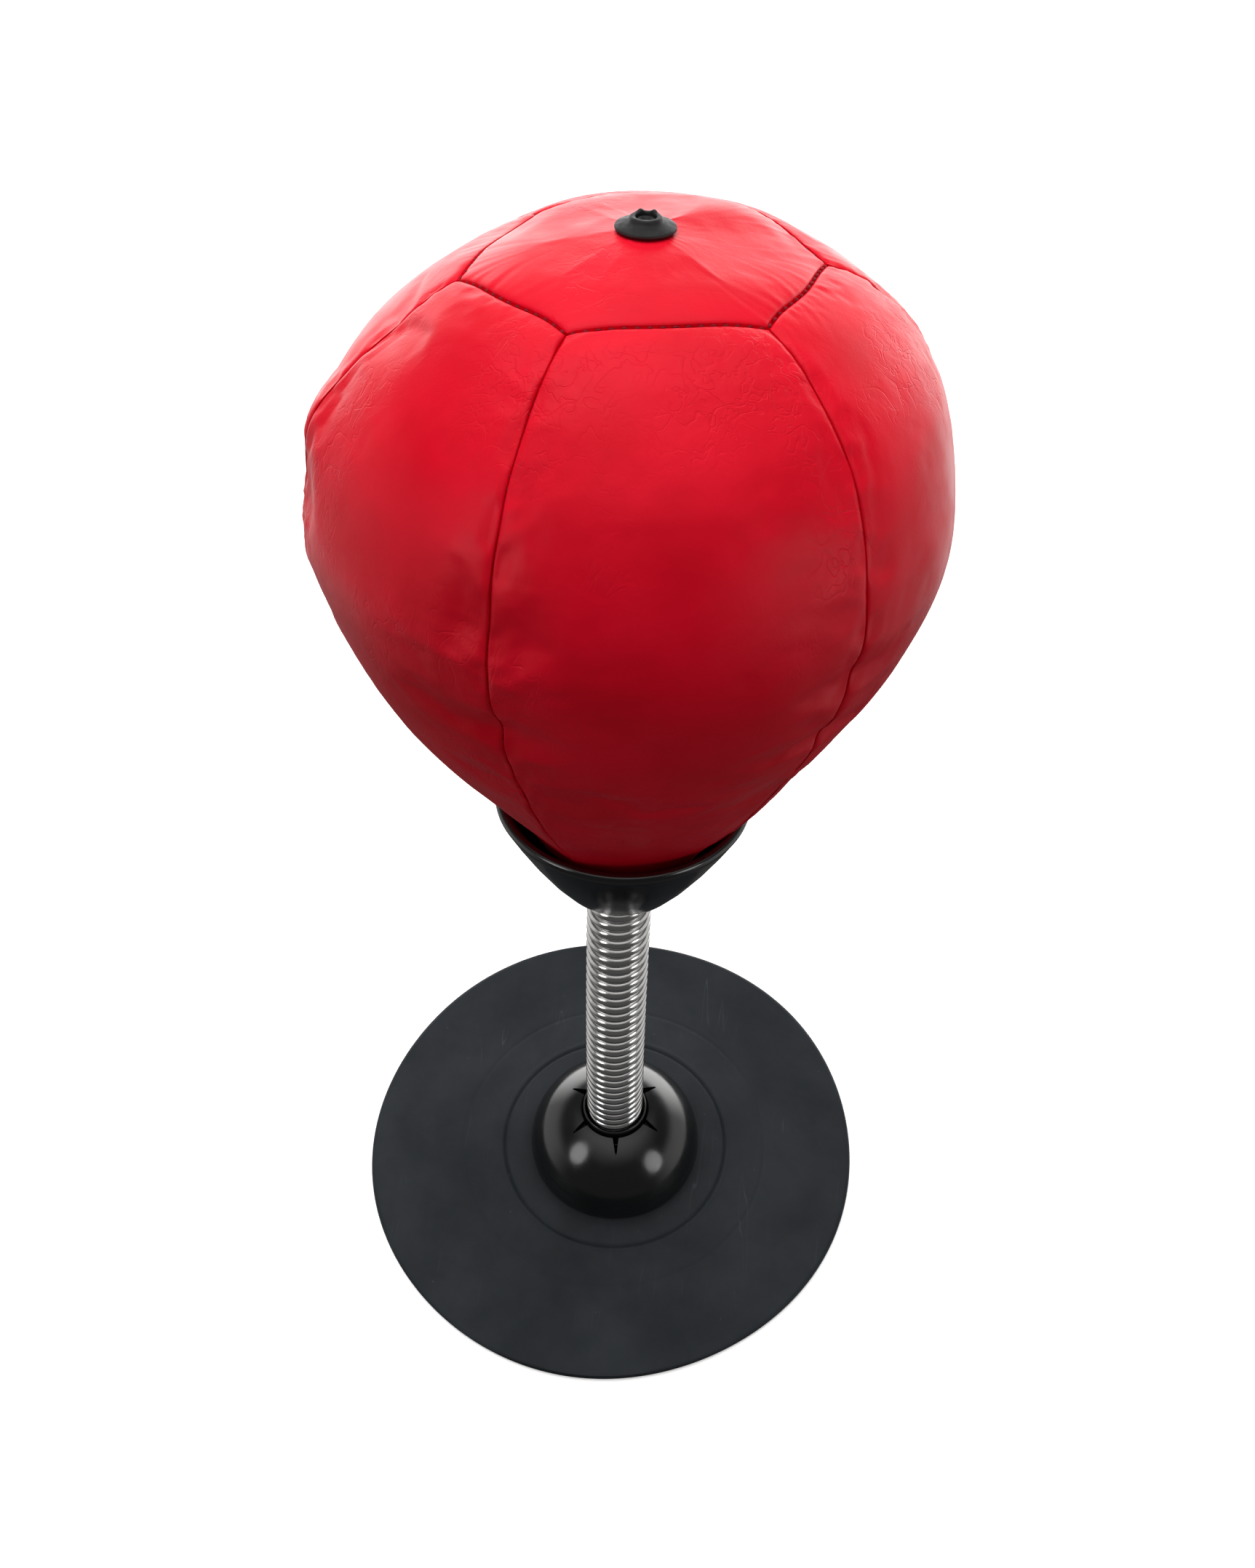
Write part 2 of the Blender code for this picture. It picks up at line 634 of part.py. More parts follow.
def build():
    clear_scene()
    rubber = make_material("disc_rubber", (0.020, 0.024, 0.028), 0.55)
    gloss = make_material("gloss_black_plastic", (0.012, 0.013, 0.014), 0.12)
    matte = make_material("matte_black_plastic", (0.020, 0.020, 0.021), 0.50)
    chrome = make_material("chromed_wire", (0.80, 0.80, 0.81), 0.10, 1.0)
    steel = make_material("zinc_steel", (0.55, 0.56, 0.58), 0.35, 1.0)
    leather = make_material("red_leather", (0.62, 0.012, 0.030), 0.42)
    bladder_rubber = make_material("bladder_rubber", (0.030, 0.028, 0.026), 0.60)

    make_suction_disc(rubber)
    make_dome(gloss)
    make_foot_collar(gloss)
    seat, plug_top = make_lower_plug(steel)
    make_base_fasteners(steel, plug_top)

    frames = [None]
    for i in range(HINGES):
        frames.append(add_frame(f"hinge_{i + 1}", hinge_height(i), frames[-1]))
    make_spring(chrome, seat, frames)

    bag = add_frame("bag_frame", HUB_AT, frames[-1])
    make_cup(gloss, bag)
    make_upper_plug(steel, bag)
    make_cup_fasteners(steel, matte, bag)
    make_bottom_patch(leather, bag)
    ball = [make_panel(i, leather, bag) for i in range(PANELS)]
    ball.append(make_top_cap(leather, bag))
    ball.append(make_bladder(bladder_rubber, bag))
    ball += make_valve(rubber, matte, bag)
    for item in ball:
        settle_crown(item)


build()
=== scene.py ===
"""Looks of the desktop punching bag: sewn leather ball, cup, spring, dome and rubber base."""

import json
import math

import bmesh
import bpy
import numpy as np
from mathutils import Matrix, Vector


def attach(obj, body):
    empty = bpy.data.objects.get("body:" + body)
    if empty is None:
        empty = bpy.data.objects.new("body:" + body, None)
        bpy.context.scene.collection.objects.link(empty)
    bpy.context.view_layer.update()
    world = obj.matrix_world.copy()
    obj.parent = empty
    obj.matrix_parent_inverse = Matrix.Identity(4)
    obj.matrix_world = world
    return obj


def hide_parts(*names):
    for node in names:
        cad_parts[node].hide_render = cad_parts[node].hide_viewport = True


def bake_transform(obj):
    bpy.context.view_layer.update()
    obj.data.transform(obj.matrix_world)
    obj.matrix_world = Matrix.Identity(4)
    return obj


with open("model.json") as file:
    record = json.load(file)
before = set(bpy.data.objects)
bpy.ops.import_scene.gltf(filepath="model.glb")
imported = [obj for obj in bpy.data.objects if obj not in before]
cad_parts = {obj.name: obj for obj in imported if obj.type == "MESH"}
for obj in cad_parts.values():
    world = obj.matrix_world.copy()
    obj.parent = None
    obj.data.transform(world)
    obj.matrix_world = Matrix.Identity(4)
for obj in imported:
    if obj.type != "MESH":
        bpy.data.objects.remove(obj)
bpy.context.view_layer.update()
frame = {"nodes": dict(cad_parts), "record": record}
MM = 0.001

# spring and lean, as on the CAD part
LEAN = math.radians(12)
BEND_LOW, BEND_HIGH, HUB_AT = 0.0390, 0.1395, 0.1485
HINGES = 8
SPRING_R, WIRE_D, PITCH = 0.0090, 0.0034, 0.0036
COIL_START, COIL_END = 0.0132, 0.1563

# ball, as on the CAD part
PANEL_TURN = math.radians(15)
MERIDIAN = [
    (0.0, 0.0127), (0.0110, 0.0131), (0.0190, 0.0172), (0.0245, 0.0232), (0.0298, 0.0325),
    (0.0425, 0.0500), (0.0575, 0.0755), (0.0690, 0.1010), (0.0742, 0.1255), (0.0662, 0.1530),
    (0.0490, 0.1716), (0.0335, 0.1792), (0.0160, 0.1838), (0.0, 0.1850),
]
CROWN_TILT = math.radians(3)
CROWN_Z = 0.1716
PATCH_R = 0.0105
CAP_R, CAP_TRIM = 0.0372, 0.0004
CAP_WIDER = 0.07                  # how much wider the cap is than a regular hexagon
CAP_BOW = 0.0013                  # how far the middles of the cap's sides bow out
VALVE_HOLE_R = 0.0036
CROWN = MERIDIAN[-1][1]
PANEL_T = 2.2 * MM

# leather
SEAM_PULL = 0.030                 # how far the side seams lie below the ball's roundness
CAP_SEAM_DIP = 0.9 * MM           # how far the cap's seam lies below it
SLACK = 0.010                     # how much larger the leather is cut than the space it fills
STITCH = 2.5 * MM                 # length of thread and gap together
STITCH_DIVE = 0.45 * MM           # how far a stitch's ends go under its middle
# the turned edge of a panel: distance from the seam's middle and depth, both in mm
ROLL = [(0.05, 2.0), (0.05, 1.15), (0.12, 0.72), (0.28, 0.40), (0.52, 0.19), (0.85, 0.07), (1.30, 0.02)]
ROLL_REACH = 2.0 * MM             # the turned edge's own points lie within this of the seam
CAP_ROLL_WIDE = 1.3               # the edges at the cap's seam, against ROLL
SIDE_ROLL_WIDE, SIDE_ROLL_DEEP = 0.8, 0.55   # the edges at the side seams, against ROLL
ROW_STEP = 1.0 * MM               # between the rows of the cover's mesh
SKIN_LEFT = 0.1 * MM              # least thickness left under a turned edge


# ---------------------------------------------------------------- materials

class Nodes:
    """Short way to write a material's nodes."""

    def __init__(self, name):
        self.material = bpy.data.materials.new(name)
        self.material.use_nodes = True
        self.tree = self.material.node_tree
        self.shader = self.tree.nodes["Principled BSDF"]
        self.place = self.add("ShaderNodeTexCoord").outputs["Object"]

    def add(self, kind, **settings):
        node = self.tree.nodes.new(kind)
        for key, value in settings.items():
            setattr(node, key, value)
        return node

    def put(self, socket, value):
        if isinstance(value, bpy.types.NodeSocket):
            self.tree.links.new(value, socket)
        else:
            socket.default_value = value

    def math(self, operation, a, b=0.0):
        node = self.add("ShaderNodeMath", operation=operation)
        self.put(node.inputs[0], a)
        self.put(node.inputs[1], b)
        return node.outputs[0]

    def noise(self, size, detail=3.0, rough=0.5, at=None, distortion=0.0):
        """Noise whose lumps are about size metres."""
        node = self.add("ShaderNodeTexNoise")
        self.put(node.inputs["Vector"], at or self.place)
        self.put(node.inputs["Scale"], 1 / size)
        self.put(node.inputs["Detail"], detail)
        self.put(node.inputs["Roughness"], rough)
        self.put(node.inputs["Distortion"], distortion)
        return node.outputs["Fac"]

    def cells(self, size):
        """Distance from the middles of cells about size metres across."""
        node = self.add("ShaderNodeTexVoronoi")
        self.put(node.inputs["Vector"], self.place)
        self.put(node.inputs["Scale"], 1 / size)
        return node.outputs["Distance"]

    def stretched(self, scale, turn=(0, 0, 0)):
        node = self.add("ShaderNodeMapping")
        self.put(node.inputs["Vector"], self.place)
        self.put(node.inputs["Rotation"], turn)
        self.put(node.inputs["Scale"], scale)
        return node.outputs["Vector"]

    def ramp(self, value, low, high, out_low=0.0, out_high=1.0):
        node = self.add("ShaderNodeMapRange", interpolation_type="SMOOTHSTEP")
        for socket, item in zip(node.inputs, (value, low, high, out_low, out_high)):
            self.put(socket, item)
        return node.outputs[0]

    def mix(self, share, a, b):
        node = self.add("ShaderNodeMix", data_type="RGBA")
        self.put(node.inputs[0], share)
        self.put(node.inputs[6], (*a, 1) if isinstance(a, tuple) else a)
        self.put(node.inputs[7], (*b, 1) if isinstance(b, tuple) else b)
        return node.outputs[2]

    def bump(self, height, depth, under=None):
        node = self.add("ShaderNodeBump")
        self.put(node.inputs["Height"], height)
        self.put(node.inputs["Strength"], 1.0)
        self.put(node.inputs["Distance"], depth)
        if under is not None:
            self.put(node.inputs["Normal"], under)
        return node.outputs["Normal"]

    def finish(self, colour=None, rough=None, normal=None, **fixed):
        for name, value in (("Base Color", colour), ("Roughness", rough), ("Normal", normal)):
            if value is not None:
                self.put(self.shader.inputs[name], (*value, 1) if isinstance(value, tuple) else value)
        for name, value in fixed.items():
            self.shader.inputs[name.replace("_", " ")].default_value = value
        return self.material


def crease_lines(n, size, width, at=None):
    """Thin lines where a noise crosses its middle."""
    value = n.noise(size, 2.0, 0.55, at, 0.4)
    off = n.math("ABSOLUTE", n.math("SUBTRACT", value, 0.5))
    return n.ramp(off, 0.0, width, 0.0, 1.0)


def leather():
    n = Nodes("red_leather")
    patches = n.ramp(n.noise(0.030, 2), 0.42, 0.68)
    shades = n.ramp(n.noise(0.022, 4), 0.3, 0.7)
    colour = n.mix(shades, (0.76, 0.0030, 0.0200), (0.66, 0.0022, 0.0150))
    colour = n.mix(n.math("MULTIPLY", patches, 0.18), colour, (0.80, 0.014, 0.036))
    slanted = n.stretched((1.0, 1.0, 0.45), (0.3, 0.5, 0.0))
    lines = n.math("MINIMUM", crease_lines(n, 0.010, 0.016, slanted), crease_lines(n, 0.0052, 0.020, slanted))
    masked = n.math("ADD", n.math("MULTIPLY", n.math("SUBTRACT", lines, 1.0), patches), 1.0)
    grain = n.math("ADD", n.cells(0.00055), n.noise(0.0012, 4, 0.6))
    rough = n.ramp(n.noise(0.012, 3), 0.3, 0.75, 0.34, 0.46)
    normal = n.bump(grain, 0.010 * MM)
    normal = n.bump(n.noise(0.006, 3, 0.5), 0.09 * MM, normal)
    normal = n.bump(masked, 0.055 * MM, normal)
    streaks = n.math("MULTIPLY", n.noise(0.0042, 3, 0.55, slanted), patches)
    normal = n.bump(streaks, 0.24 * MM, normal)
    return n.finish(colour, rough, normal, Specular_IOR_Level=0.16)


def thread():
    n = Nodes("thread")
    twist = n.noise(0.0004, 2, at=n.stretched((1, 1, 2.5), (0.5, 0.4, 0)))
    colour = n.mix(twist, (0.16, 0.003, 0.010), (0.30, 0.006, 0.018))
    return n.finish(colour, 0.62, n.bump(twist, 0.05 * MM))


def gloss_plastic():
    n = Nodes("gloss_plastic")
    colour = n.mix(n.noise(0.02, 3), (0.0035, 0.0038, 0.0040), (0.0070, 0.0072, 0.0075))
    rough = n.ramp(n.noise(0.006, 5, 0.6), 0.35, 0.75, 0.15, 0.22)
    wave = n.bump(n.noise(0.016, 2), 0.10 * MM)
    normal = n.bump(n.noise(0.0012, 3), 0.004 * MM, wave)
    return n.finish(colour, rough, normal, Specular_IOR_Level=1.0)


def matte_plastic():
    n = Nodes("matte_plastic")
    colour = n.mix(n.noise(0.004, 4), (0.014, 0.014, 0.015), (0.026, 0.026, 0.027))
    rough = n.ramp(n.noise(0.002, 4), 0.3, 0.7, 0.45, 0.62)
    return n.finish(colour, rough, n.bump(n.cells(0.0006), 0.02 * MM))


def disc_rubber():
    n = Nodes("disc_rubber")
    cloud = n.ramp(n.noise(0.035, 4, 0.55), 0.3, 0.72)
    colour = n.mix(cloud, (0.0092, 0.0120, 0.0146), (0.0165, 0.0200, 0.0240))
    dust = n.ramp(n.cells(0.0085), 0.020, 0.045, 1.0, 0.0)
    scratch_at = n.stretched((1.0, 0.05, 1.0), (0, 0, 0.7))
    scratches = n.math("SUBTRACT", 1.0, crease_lines(n, 0.012, 0.0035, scratch_at))
    scratches = n.math("MULTIPLY", scratches, n.ramp(n.noise(0.018, 2), 0.52, 0.66))
    light = n.math("MULTIPLY", n.math("MAXIMUM", dust, scratches), 0.35)
    colour = n.mix(light, colour, (0.060, 0.067, 0.074))
    rough = n.ramp(n.noise(0.010, 5, 0.6), 0.3, 0.75, 0.50, 0.64)
    normal = n.bump(n.noise(0.0009, 4, 0.6), 0.028 * MM)
    normal = n.bump(n.noise(0.030, 2), 0.35 * MM, normal)
    return n.finish(colour, rough, normal, Specular_IOR_Level=0.30)


def dark_rubber(name, low, high):
    n = Nodes(name)
    colour = n.mix(n.noise(0.004, 4), low, high)
    rough = n.ramp(n.noise(0.0015, 4), 0.3, 0.7, 0.50, 0.68)
    return n.finish(colour, rough, n.bump(n.noise(0.0006, 4), 0.03 * MM))


def chrome():
    n = Nodes("chromed_spring")
    colour = n.mix(n.noise(0.006, 3), (0.80, 0.79, 0.78), (0.90, 0.89, 0.88))
    drawn = n.noise(0.0008, 3, at=n.stretched((0.25, 0.25, 2.0)))
    rough = n.ramp(n.noise(0.003, 4), 0.3, 0.75, 0.13, 0.24)
    return n.finish(colour, rough, n.bump(drawn, 0.006 * MM), Metallic=1.0)


def zinc():
    n = Nodes("zinc_steel")
    colour = n.mix(n.cells(0.0022), (0.50, 0.51, 0.53), (0.66, 0.66, 0.67))
    rough = n.ramp(n.noise(0.0015, 4), 0.3, 0.7, 0.24, 0.40)
    return n.finish(colour, rough, n.bump(n.noise(0.0005, 3), 0.01 * MM), Metallic=1.0)


MATERIAL = {
    "red_leather": leather(),
    "gloss_plastic": gloss_plastic(),
    "matte_plastic": matte_plastic(),
    "disc_rubber": disc_rubber(),
    "valve_rubber": dark_rubber("valve_rubber", (0.010, 0.010, 0.011), (0.020, 0.020, 0.021)),
    "bladder_rubber": dark_rubber("bladder_rubber", (0.022, 0.021, 0.019), (0.036, 0.034, 0.031)),
    "chromed_spring": chrome(),
    "zinc_steel": zinc(),
}
THREAD = thread()


# ---------------------------------------------------------------- shared shapes

def smooth(x):
    x = np.clip(x, 0, 1)
    return x * x * (3 - 2 * x)


def bell(x):
    return np.exp(-x * x)


def lean_at(height):
    return LEAN * min(max((height - BEND_LOW) / (BEND_HIGH - BEND_LOW), 0.0), 1.0)


def centre_at(height):
    if height <= BEND_LOW:
        return Vector((0, 0, height))
    arc_r = (BEND_HIGH - BEND_LOW) / LEAN
    lean = lean_at(height)
    past = max(height - BEND_HIGH, 0.0)
    return Vector((0, arc_r * (1 - math.cos(lean)) + past * math.sin(lean),
                   BEND_LOW + arc_r * math.sin(lean) + past * math.cos(lean)))


def frame_at(height):
    return Matrix.Translation(centre_at(height)) @ Matrix.Rotation(-lean_at(height), 4, "X")


BAG = frame_at(HUB_AT)


def to_row(points):
    """Points of the bag's own frame in the row frame."""
    m = np.array(BAG)
    return points @ m[:3, :3].T + m[:3, 3]


def make_object(name, points, faces, material, weld=True):
    mesh = bpy.data.meshes.new(name)
    mesh.from_pydata([tuple(p) for p in points], [], faces)
    mesh.polygons.foreach_set("use_smooth", [True] * len(faces))
    mesh.materials.append(material)
    if weld:
        bm = bmesh.new()
        bm.from_mesh(mesh)
        bmesh.ops.remove_doubles(bm, verts=bm.verts, dist=1e-7)
        bmesh.ops.recalc_face_normals(bm, faces=bm.faces)
        bm.to_mesh(mesh)
        bm.free()
    item = bpy.data.objects.new(name, mesh)
    bpy.context.scene.collection.objects.link(item)
    return item


def sharpen(item, degrees=38):
    item.data.set_sharp_from_angle(angle=math.radians(degrees))
    return item


def grid_faces(rows, columns, start=0, ring=False, flip=False):
    faces = []
    for i in range(rows - 1):
        for j in range(columns if ring else columns - 1):
            k = (j + 1) % columns
            face = (start + i * columns + j, start + i * columns + k,
                    start + (i + 1) * columns + k, start + (i + 1) * columns + j)
            faces.append(face[::-1] if flip else face)
    return faces


def turned(name, outline, steps, material, shape=None, matrix=None):
    """Closed turned piece. shape(points, angle) may move its points."""
    outline = np.array(outline, float)
    count = len(outline)
    rings = []
    for k in range(steps):
        angle = math.tau * k / steps
        r, z = outline[:, 0], outline[:, 1]
        ring = np.stack([r * math.cos(angle), r * math.sin(angle), z], 1)
        rings.append(shape(ring, angle) if shape else ring)
    points = np.concatenate(rings)
    faces = []
    for k in range(steps):
        after = (k + 1) % steps
        for i in range(count):
            j = (i + 1) % count
            if outline[i][0] < 1e-9 and outline[j][0] < 1e-9:
                continue
            faces.append((k * count + i, after * count + i, after * count + j, k * count + j))
    if matrix is not None:
        m = np.array(matrix)
        points = points @ m[:3, :3].T + m[:3, 3]
    mesh_faces = []
    for face in faces:
        corners = [f for n, f in enumerate(face)
                   if np.linalg.norm(points[f] - points[face[n - 1]]) > 1e-9]
        if len(corners) > 2:
            mesh_faces.append(tuple(corners))
    return sharpen(make_object(name, points, mesh_faces, material))


def rounded(outline, radius, steps=4):
    """An outline with each corner rounded; the radius is less where an edge is short."""
    outline = [Vector(p) for p in outline]
    result = []
    for k, corner in enumerate(outline):
        before, after = outline[k - 1] - corner, outline[(k + 1) % len(outline)] - corner
        reach = min(radius, before.length * 0.45, after.length * 0.45)
        on_axis = corner.x < 1e-9
        if on_axis or before.angle(after) > math.radians(172):
            result.append(tuple(corner))
            continue
        start, end = corner + before.normalized() * reach, corner + after.normalized() * reach
        for i in range(steps + 1):
            t = i / steps
            result.append(tuple((1 - t) ** 2 * start + 2 * t * (1 - t) * corner + t * t * end))
    return result


def show(item, body, slot, *nodes):
    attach(item, body)
    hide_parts(*nodes)


# ---------------------------------------------------------------- the ball's surface

OUTLINE_STEPS = 1200


def fine_meridian():
    """Radius and height of the ball's outline at even shares of its length, from foot to crown."""
    knots = [Vector(p) for p in MERIDIAN]
    at = [0.0]
    for a, b in zip(knots, knots[1:]):
        at.append(at[-1] + (b - a).length)
    knots = [Vector((-knots[1].x, knots[1].y))] + knots + [Vector((-knots[-2].x, knots[-2].y))]
    at = [-at[1]] + at + [2 * at[-1] - at[-2]]
    result = []
    k = 1
    for i in range(OUTLINE_STEPS + 1):
        d = at[-2] * i / OUTLINE_STEPS
        while k < len(at) - 3 and d > at[k + 1]:
            k += 1
        span = at[k + 1] - at[k]
        x = (d - at[k]) / span
        out = (knots[k + 1] - knots[k - 1]) / (at[k + 1] - at[k - 1]) * span
        into = (knots[k + 2] - knots[k]) / (at[k + 2] - at[k]) * span
        result.append((2 * x**3 - 3 * x**2 + 1) * knots[k] + (x**3 - 2 * x**2 + x) * out
                      + (3 * x**2 - 2 * x**3) * knots[k + 1] + (x**3 - x**2) * into)
    return np.array(result)


OUTLINE = fine_meridian()
SHARES = np.linspace(0, 1, len(OUTLINE))
WIDEST = SHARES[OUTLINE[:, 0].argmax()]
WIDEST_Z = OUTLINE[:, 1][int(WIDEST * OUTLINE_STEPS)]
SLOPE = np.gradient(OUTLINE, axis=0)
SLOPE /= np.linalg.norm(SLOPE, axis=1, keepdims=True)
FOOT_ROWS = 200                   # the outline only widens over these first rows


def foot_share(radius):
    """Share at which the outline has this radius, near the foot."""
    return float(np.interp(radius, OUTLINE[:FOOT_ROWS, 0], SHARES[:FOOT_ROWS]))


def crown_share(radius):
    """Share at which the outline has this radius, above the widest level."""
    high = SHARES >= WIDEST
    return np.interp(radius, OUTLINE[high, 0][::-1], SHARES[high][::-1])


def cap_edge(angle):
    """Radius of the hexagonal cap at an angle from a panel's middle; its sides bow out a little."""
    off = np.mod(angle + math.pi / 6, math.pi / 3) - math.pi / 6
    straight = (CAP_R - CAP_TRIM) * math.cos(math.pi / 6) / np.cos(off)
    return (straight + CAP_BOW * np.cos(off * 3) ** 2) * (1 + CAP_WIDER * np.sin(angle) ** 2)


FOOT_SHARE = foot_share(PATCH_R + 0.0003)

# how far each seam wanders from its even place, in degrees: (seam angle, at most, reach)
DRIFTS = [(-30, -3.0, 32), (30, 1.6, 32)]


def around(angle, share):
    """Direction about the ball's axis of a point at an angle, with the seams' drift."""
    degrees = np.degrees(np.mod(angle + math.pi, math.tau) - math.pi)
    grown = 0.45 + 0.55 * smooth(share / 0.25)
    turn = PANEL_TURN - math.pi / 2 + angle
    for seam, most, reach in DRIFTS:
        near = np.cos(np.clip((degrees - seam) / reach, -1, 1) * math.pi / 2) ** 2
        turn = turn + np.radians(most) * grown * near
    return turn


# shallow dents and corners of the hand-sewn ball:
# angle in degrees, share, width in degrees, width in share, height in mm
SWELLS = [
    (-94, 0.775, 16, 0.055, -1.8), (-92, 0.655, 11, 0.036, 2.8), (-98, 0.34, 40, 0.120, 3.4),
    (-92, 0.55, 14, 0.050, 1.5), (82, 0.40, 35, 0.100, -0.6), (92, 0.735, 34, 0.070, 2.0),
    (172, 0.84, 50, 0.090, 2.2), (128, 0.89, 26, 0.070, 1.9), (-130, 0.82, 26, 0.070, -2.4),
    (-98, 0.50, 34, 0.130, 1.1), (84, 0.58, 28, 0.090, -0.9), (-91, 0.47, 11, 0.070, 1.2),
    (58, 0.235, 26, 0.050, 1.6), (30, 0.70, 26, 0.060, 0.6), (150, 0.60, 16, 0.060, -0.8),
    (-150, 0.62, 16, 0.060, -0.8), (0, 0.42, 26, 0.120, 0.5),
]
SWELL_FROM, SWELL_GROW = 0.20, 0.10   # no swelling below this share, so that the ball fits its cup


def degrees_apart(degrees, other):
    return np.mod(degrees - other + 180, 360) - 180


def ball_surface(angle, share, lift=0.0):
    """Points of the ball in the row frame; lift is outwards, in metres."""
    angle, share = np.broadcast_arrays(np.asarray(angle, float), np.asarray(share, float))
    r = np.interp(share, SHARES, OUTLINE[:, 0])
    z = np.interp(share, SHARES, OUTLINE[:, 1])
    slope_r = np.interp(share, SHARES, np.gradient(OUTLINE[:, 0]))
    slope_z = np.interp(share, SHARES, np.gradient(OUTLINE[:, 1]))
    length = np.hypot(slope_r, slope_z)
    normal_r, normal_z = slope_z / length, -slope_r / length
    degrees = np.degrees(angle)
    rise = np.zeros_like(r)
    for middle, at, wide, tall, height in SWELLS:
        off = degrees_apart(degrees, middle)
        rise = rise + height * MM * bell(off / wide) * bell((share - at) / tall)
    rise = rise * smooth((share - SWELL_FROM) / SWELL_GROW) + lift
    turn = around(angle, share)
    r, z = r + normal_r * rise, z + normal_z * rise
    points = np.stack([r * np.cos(turn), r * np.sin(turn), z], -1)
    tip = CROWN_TILT * smooth((z - WIDEST_Z) / (CROWN_Z - WIDEST_Z))
    y, up = points[..., 1].copy(), points[..., 2] - WIDEST_Z
    points[..., 1] = y * np.cos(tip) + up * np.sin(tip)
    points[..., 2] = WIDEST_Z - y * np.sin(tip) + up * np.cos(tip)
    return to_row(points.reshape(-1, 3)).reshape(points.shape)


# puckers, where a seam is pulled in: seam angle in degrees, share, length in share, depth in mm
PUCKERS = [
    (-30, 0.485, 0.020, 1.9), (-30, 0.600, 0.022, 0.8), (30, 0.530, 0.020, 1.4), (30, 0.445, 0.018, 1.4),
    (-90, 0.57, 0.025, 0.5), (-90, 0.44, 0.02, 0.4), (90, 0.50, 0.025, 0.6), (90, 0.38, 0.02, 0.5),
    (150, 0.53, 0.02, 1.3), (150, 0.36, 0.02, 1.5), (-150, 0.47, 0.02, 1.5), (-150, 0.38, 0.018, 1.2),
]
PUCKER_WIDE = 14                  # degrees
SEAM_ENDS = 0.86                  # share at which the side seams meet the cap
SEAM_WANDER = 0.35 * MM


def seam_depth(angle, share):
    """How far below the ball's roundness a side seam lies."""
    degrees = np.degrees(angle)
    along = np.clip((share - FOOT_SHARE) / (SEAM_ENDS - FOOT_SHARE), 0, 1)
    r = np.interp(share, SHARES, OUTLINE[:, 0])
    depth = SEAM_PULL * r * np.sin(math.pi * along) ** 0.8
    for seam, at, tall, deep in PUCKERS:
        off = degrees_apart(degrees, seam)
        depth = depth + deep * MM * bell((share - at) / tall) * bell(off / PUCKER_WIDE)
    wander = np.sin(share * 61 + degrees * 0.7) * np.sin(share * 37 + degrees * 1.3 + 2)
    return depth + SEAM_WANDER * wander * np.sin(math.pi * along)


# ---------------------------------------------------------------- cloth

CLOTH_FRAMES = 24


def simulate(name, points, faces, pinned, most, slack):
    """Inflates the leather between its pinned seams. No point moves more than most."""
    item = make_object(name, points, faces, MATERIAL["red_leather"], weld=False)
    group = item.vertex_groups.new(name="sewn")
    group.add([int(i) for i in np.flatnonzero(pinned)], 1.0, "REPLACE")
    cloth = item.modifiers.new("cloth", "CLOTH")
    values = cloth.settings
    values.quality = 7
    values.mass = 0.15
    values.tension_stiffness = values.compression_stiffness = 18
    values.shear_stiffness = 8
    values.bending_stiffness = 0.35
    values.tension_damping = values.compression_damping = 6
    values.vertex_group_mass = group.name
    values.shrink_min = -slack
    values.use_pressure = True
    values.uniform_pressure_force = 4.0
    values.effector_weights.gravity = 0
    cloth.collision_settings.use_collision = False
    cloth.point_cache.frame_start = 1
    cloth.point_cache.frame_end = CLOTH_FRAMES
    scene = bpy.context.scene
    for frame_number in range(1, CLOTH_FRAMES + 1):
        scene.frame_set(frame_number)
    shaped = item.evaluated_get(bpy.context.evaluated_depsgraph_get())
    moved = np.zeros(len(points) * 3)
    shaped.data.vertices.foreach_get("co", moved)
    moved = moved.reshape(-1, 3)
    scene.frame_set(1)
    bpy.data.objects.remove(item)
    step = moved - points
    length = np.linalg.norm(step, axis=1, keepdims=True)
    return points + step * np.minimum(1, most / np.maximum(length, 1e-9))


ROWS, COLUMNS = 92, 37            # the simulated panel
CAP_ROWS, CAP_COLUMNS = 20, 150   # the simulated cap
START_IN = 2.4 * MM               # a panel's middle starts this far inside the ball
PANEL_MOVES, CAP_MOVES = 5 * MM, 3 * MM      # no point moves further than this
CAP_SHARE = 0.45                  # how much of the cap's simulated shape is kept
FADE_FROM, FADE_OVER = 0.24, 0.30   # share of a panel over which its simulated shape grows in


def panel_grid(index):
    """A panel before it's inflated, as rows from foot to crown."""
    u = np.linspace(-1, 1, COLUMNS)[None, :]
    v = np.linspace(0, 1, ROWS)[:, None]
    angle = index * math.pi / 3 + u * math.pi / 6 + 0 * v
    share = FOOT_SHARE + (crown_share(cap_edge(angle)) - FOOT_SHARE) * v
    seam = seam_depth(angle, share)
    ends = 1 - (2 * v - 1) ** 4
    middle = START_IN * ends + CAP_SEAM_DIP * v**12
    side = np.abs(u) ** 2.5
    depth = seam * side + middle * (1 - side) + CAP_SEAM_DIP * side * v**12
    return ball_surface(angle, share, -depth)


def cap_grid():
    angle = np.linspace(0, math.tau, CAP_COLUMNS, endpoint=False)[None, :] - math.pi / 6
    t = np.linspace(0, 1, CAP_ROWS)[:, None]
    edge = cap_edge(angle)
    radius = VALVE_HOLE_R + (edge - VALVE_HOLE_R) * t
    share = crown_share(radius)
    depth = CAP_SEAM_DIP * t**6 + 0.25 * START_IN * 4 * t * (1 - t) + seam_depth(angle, share) * t**8
    return ball_surface(angle, share, -depth)


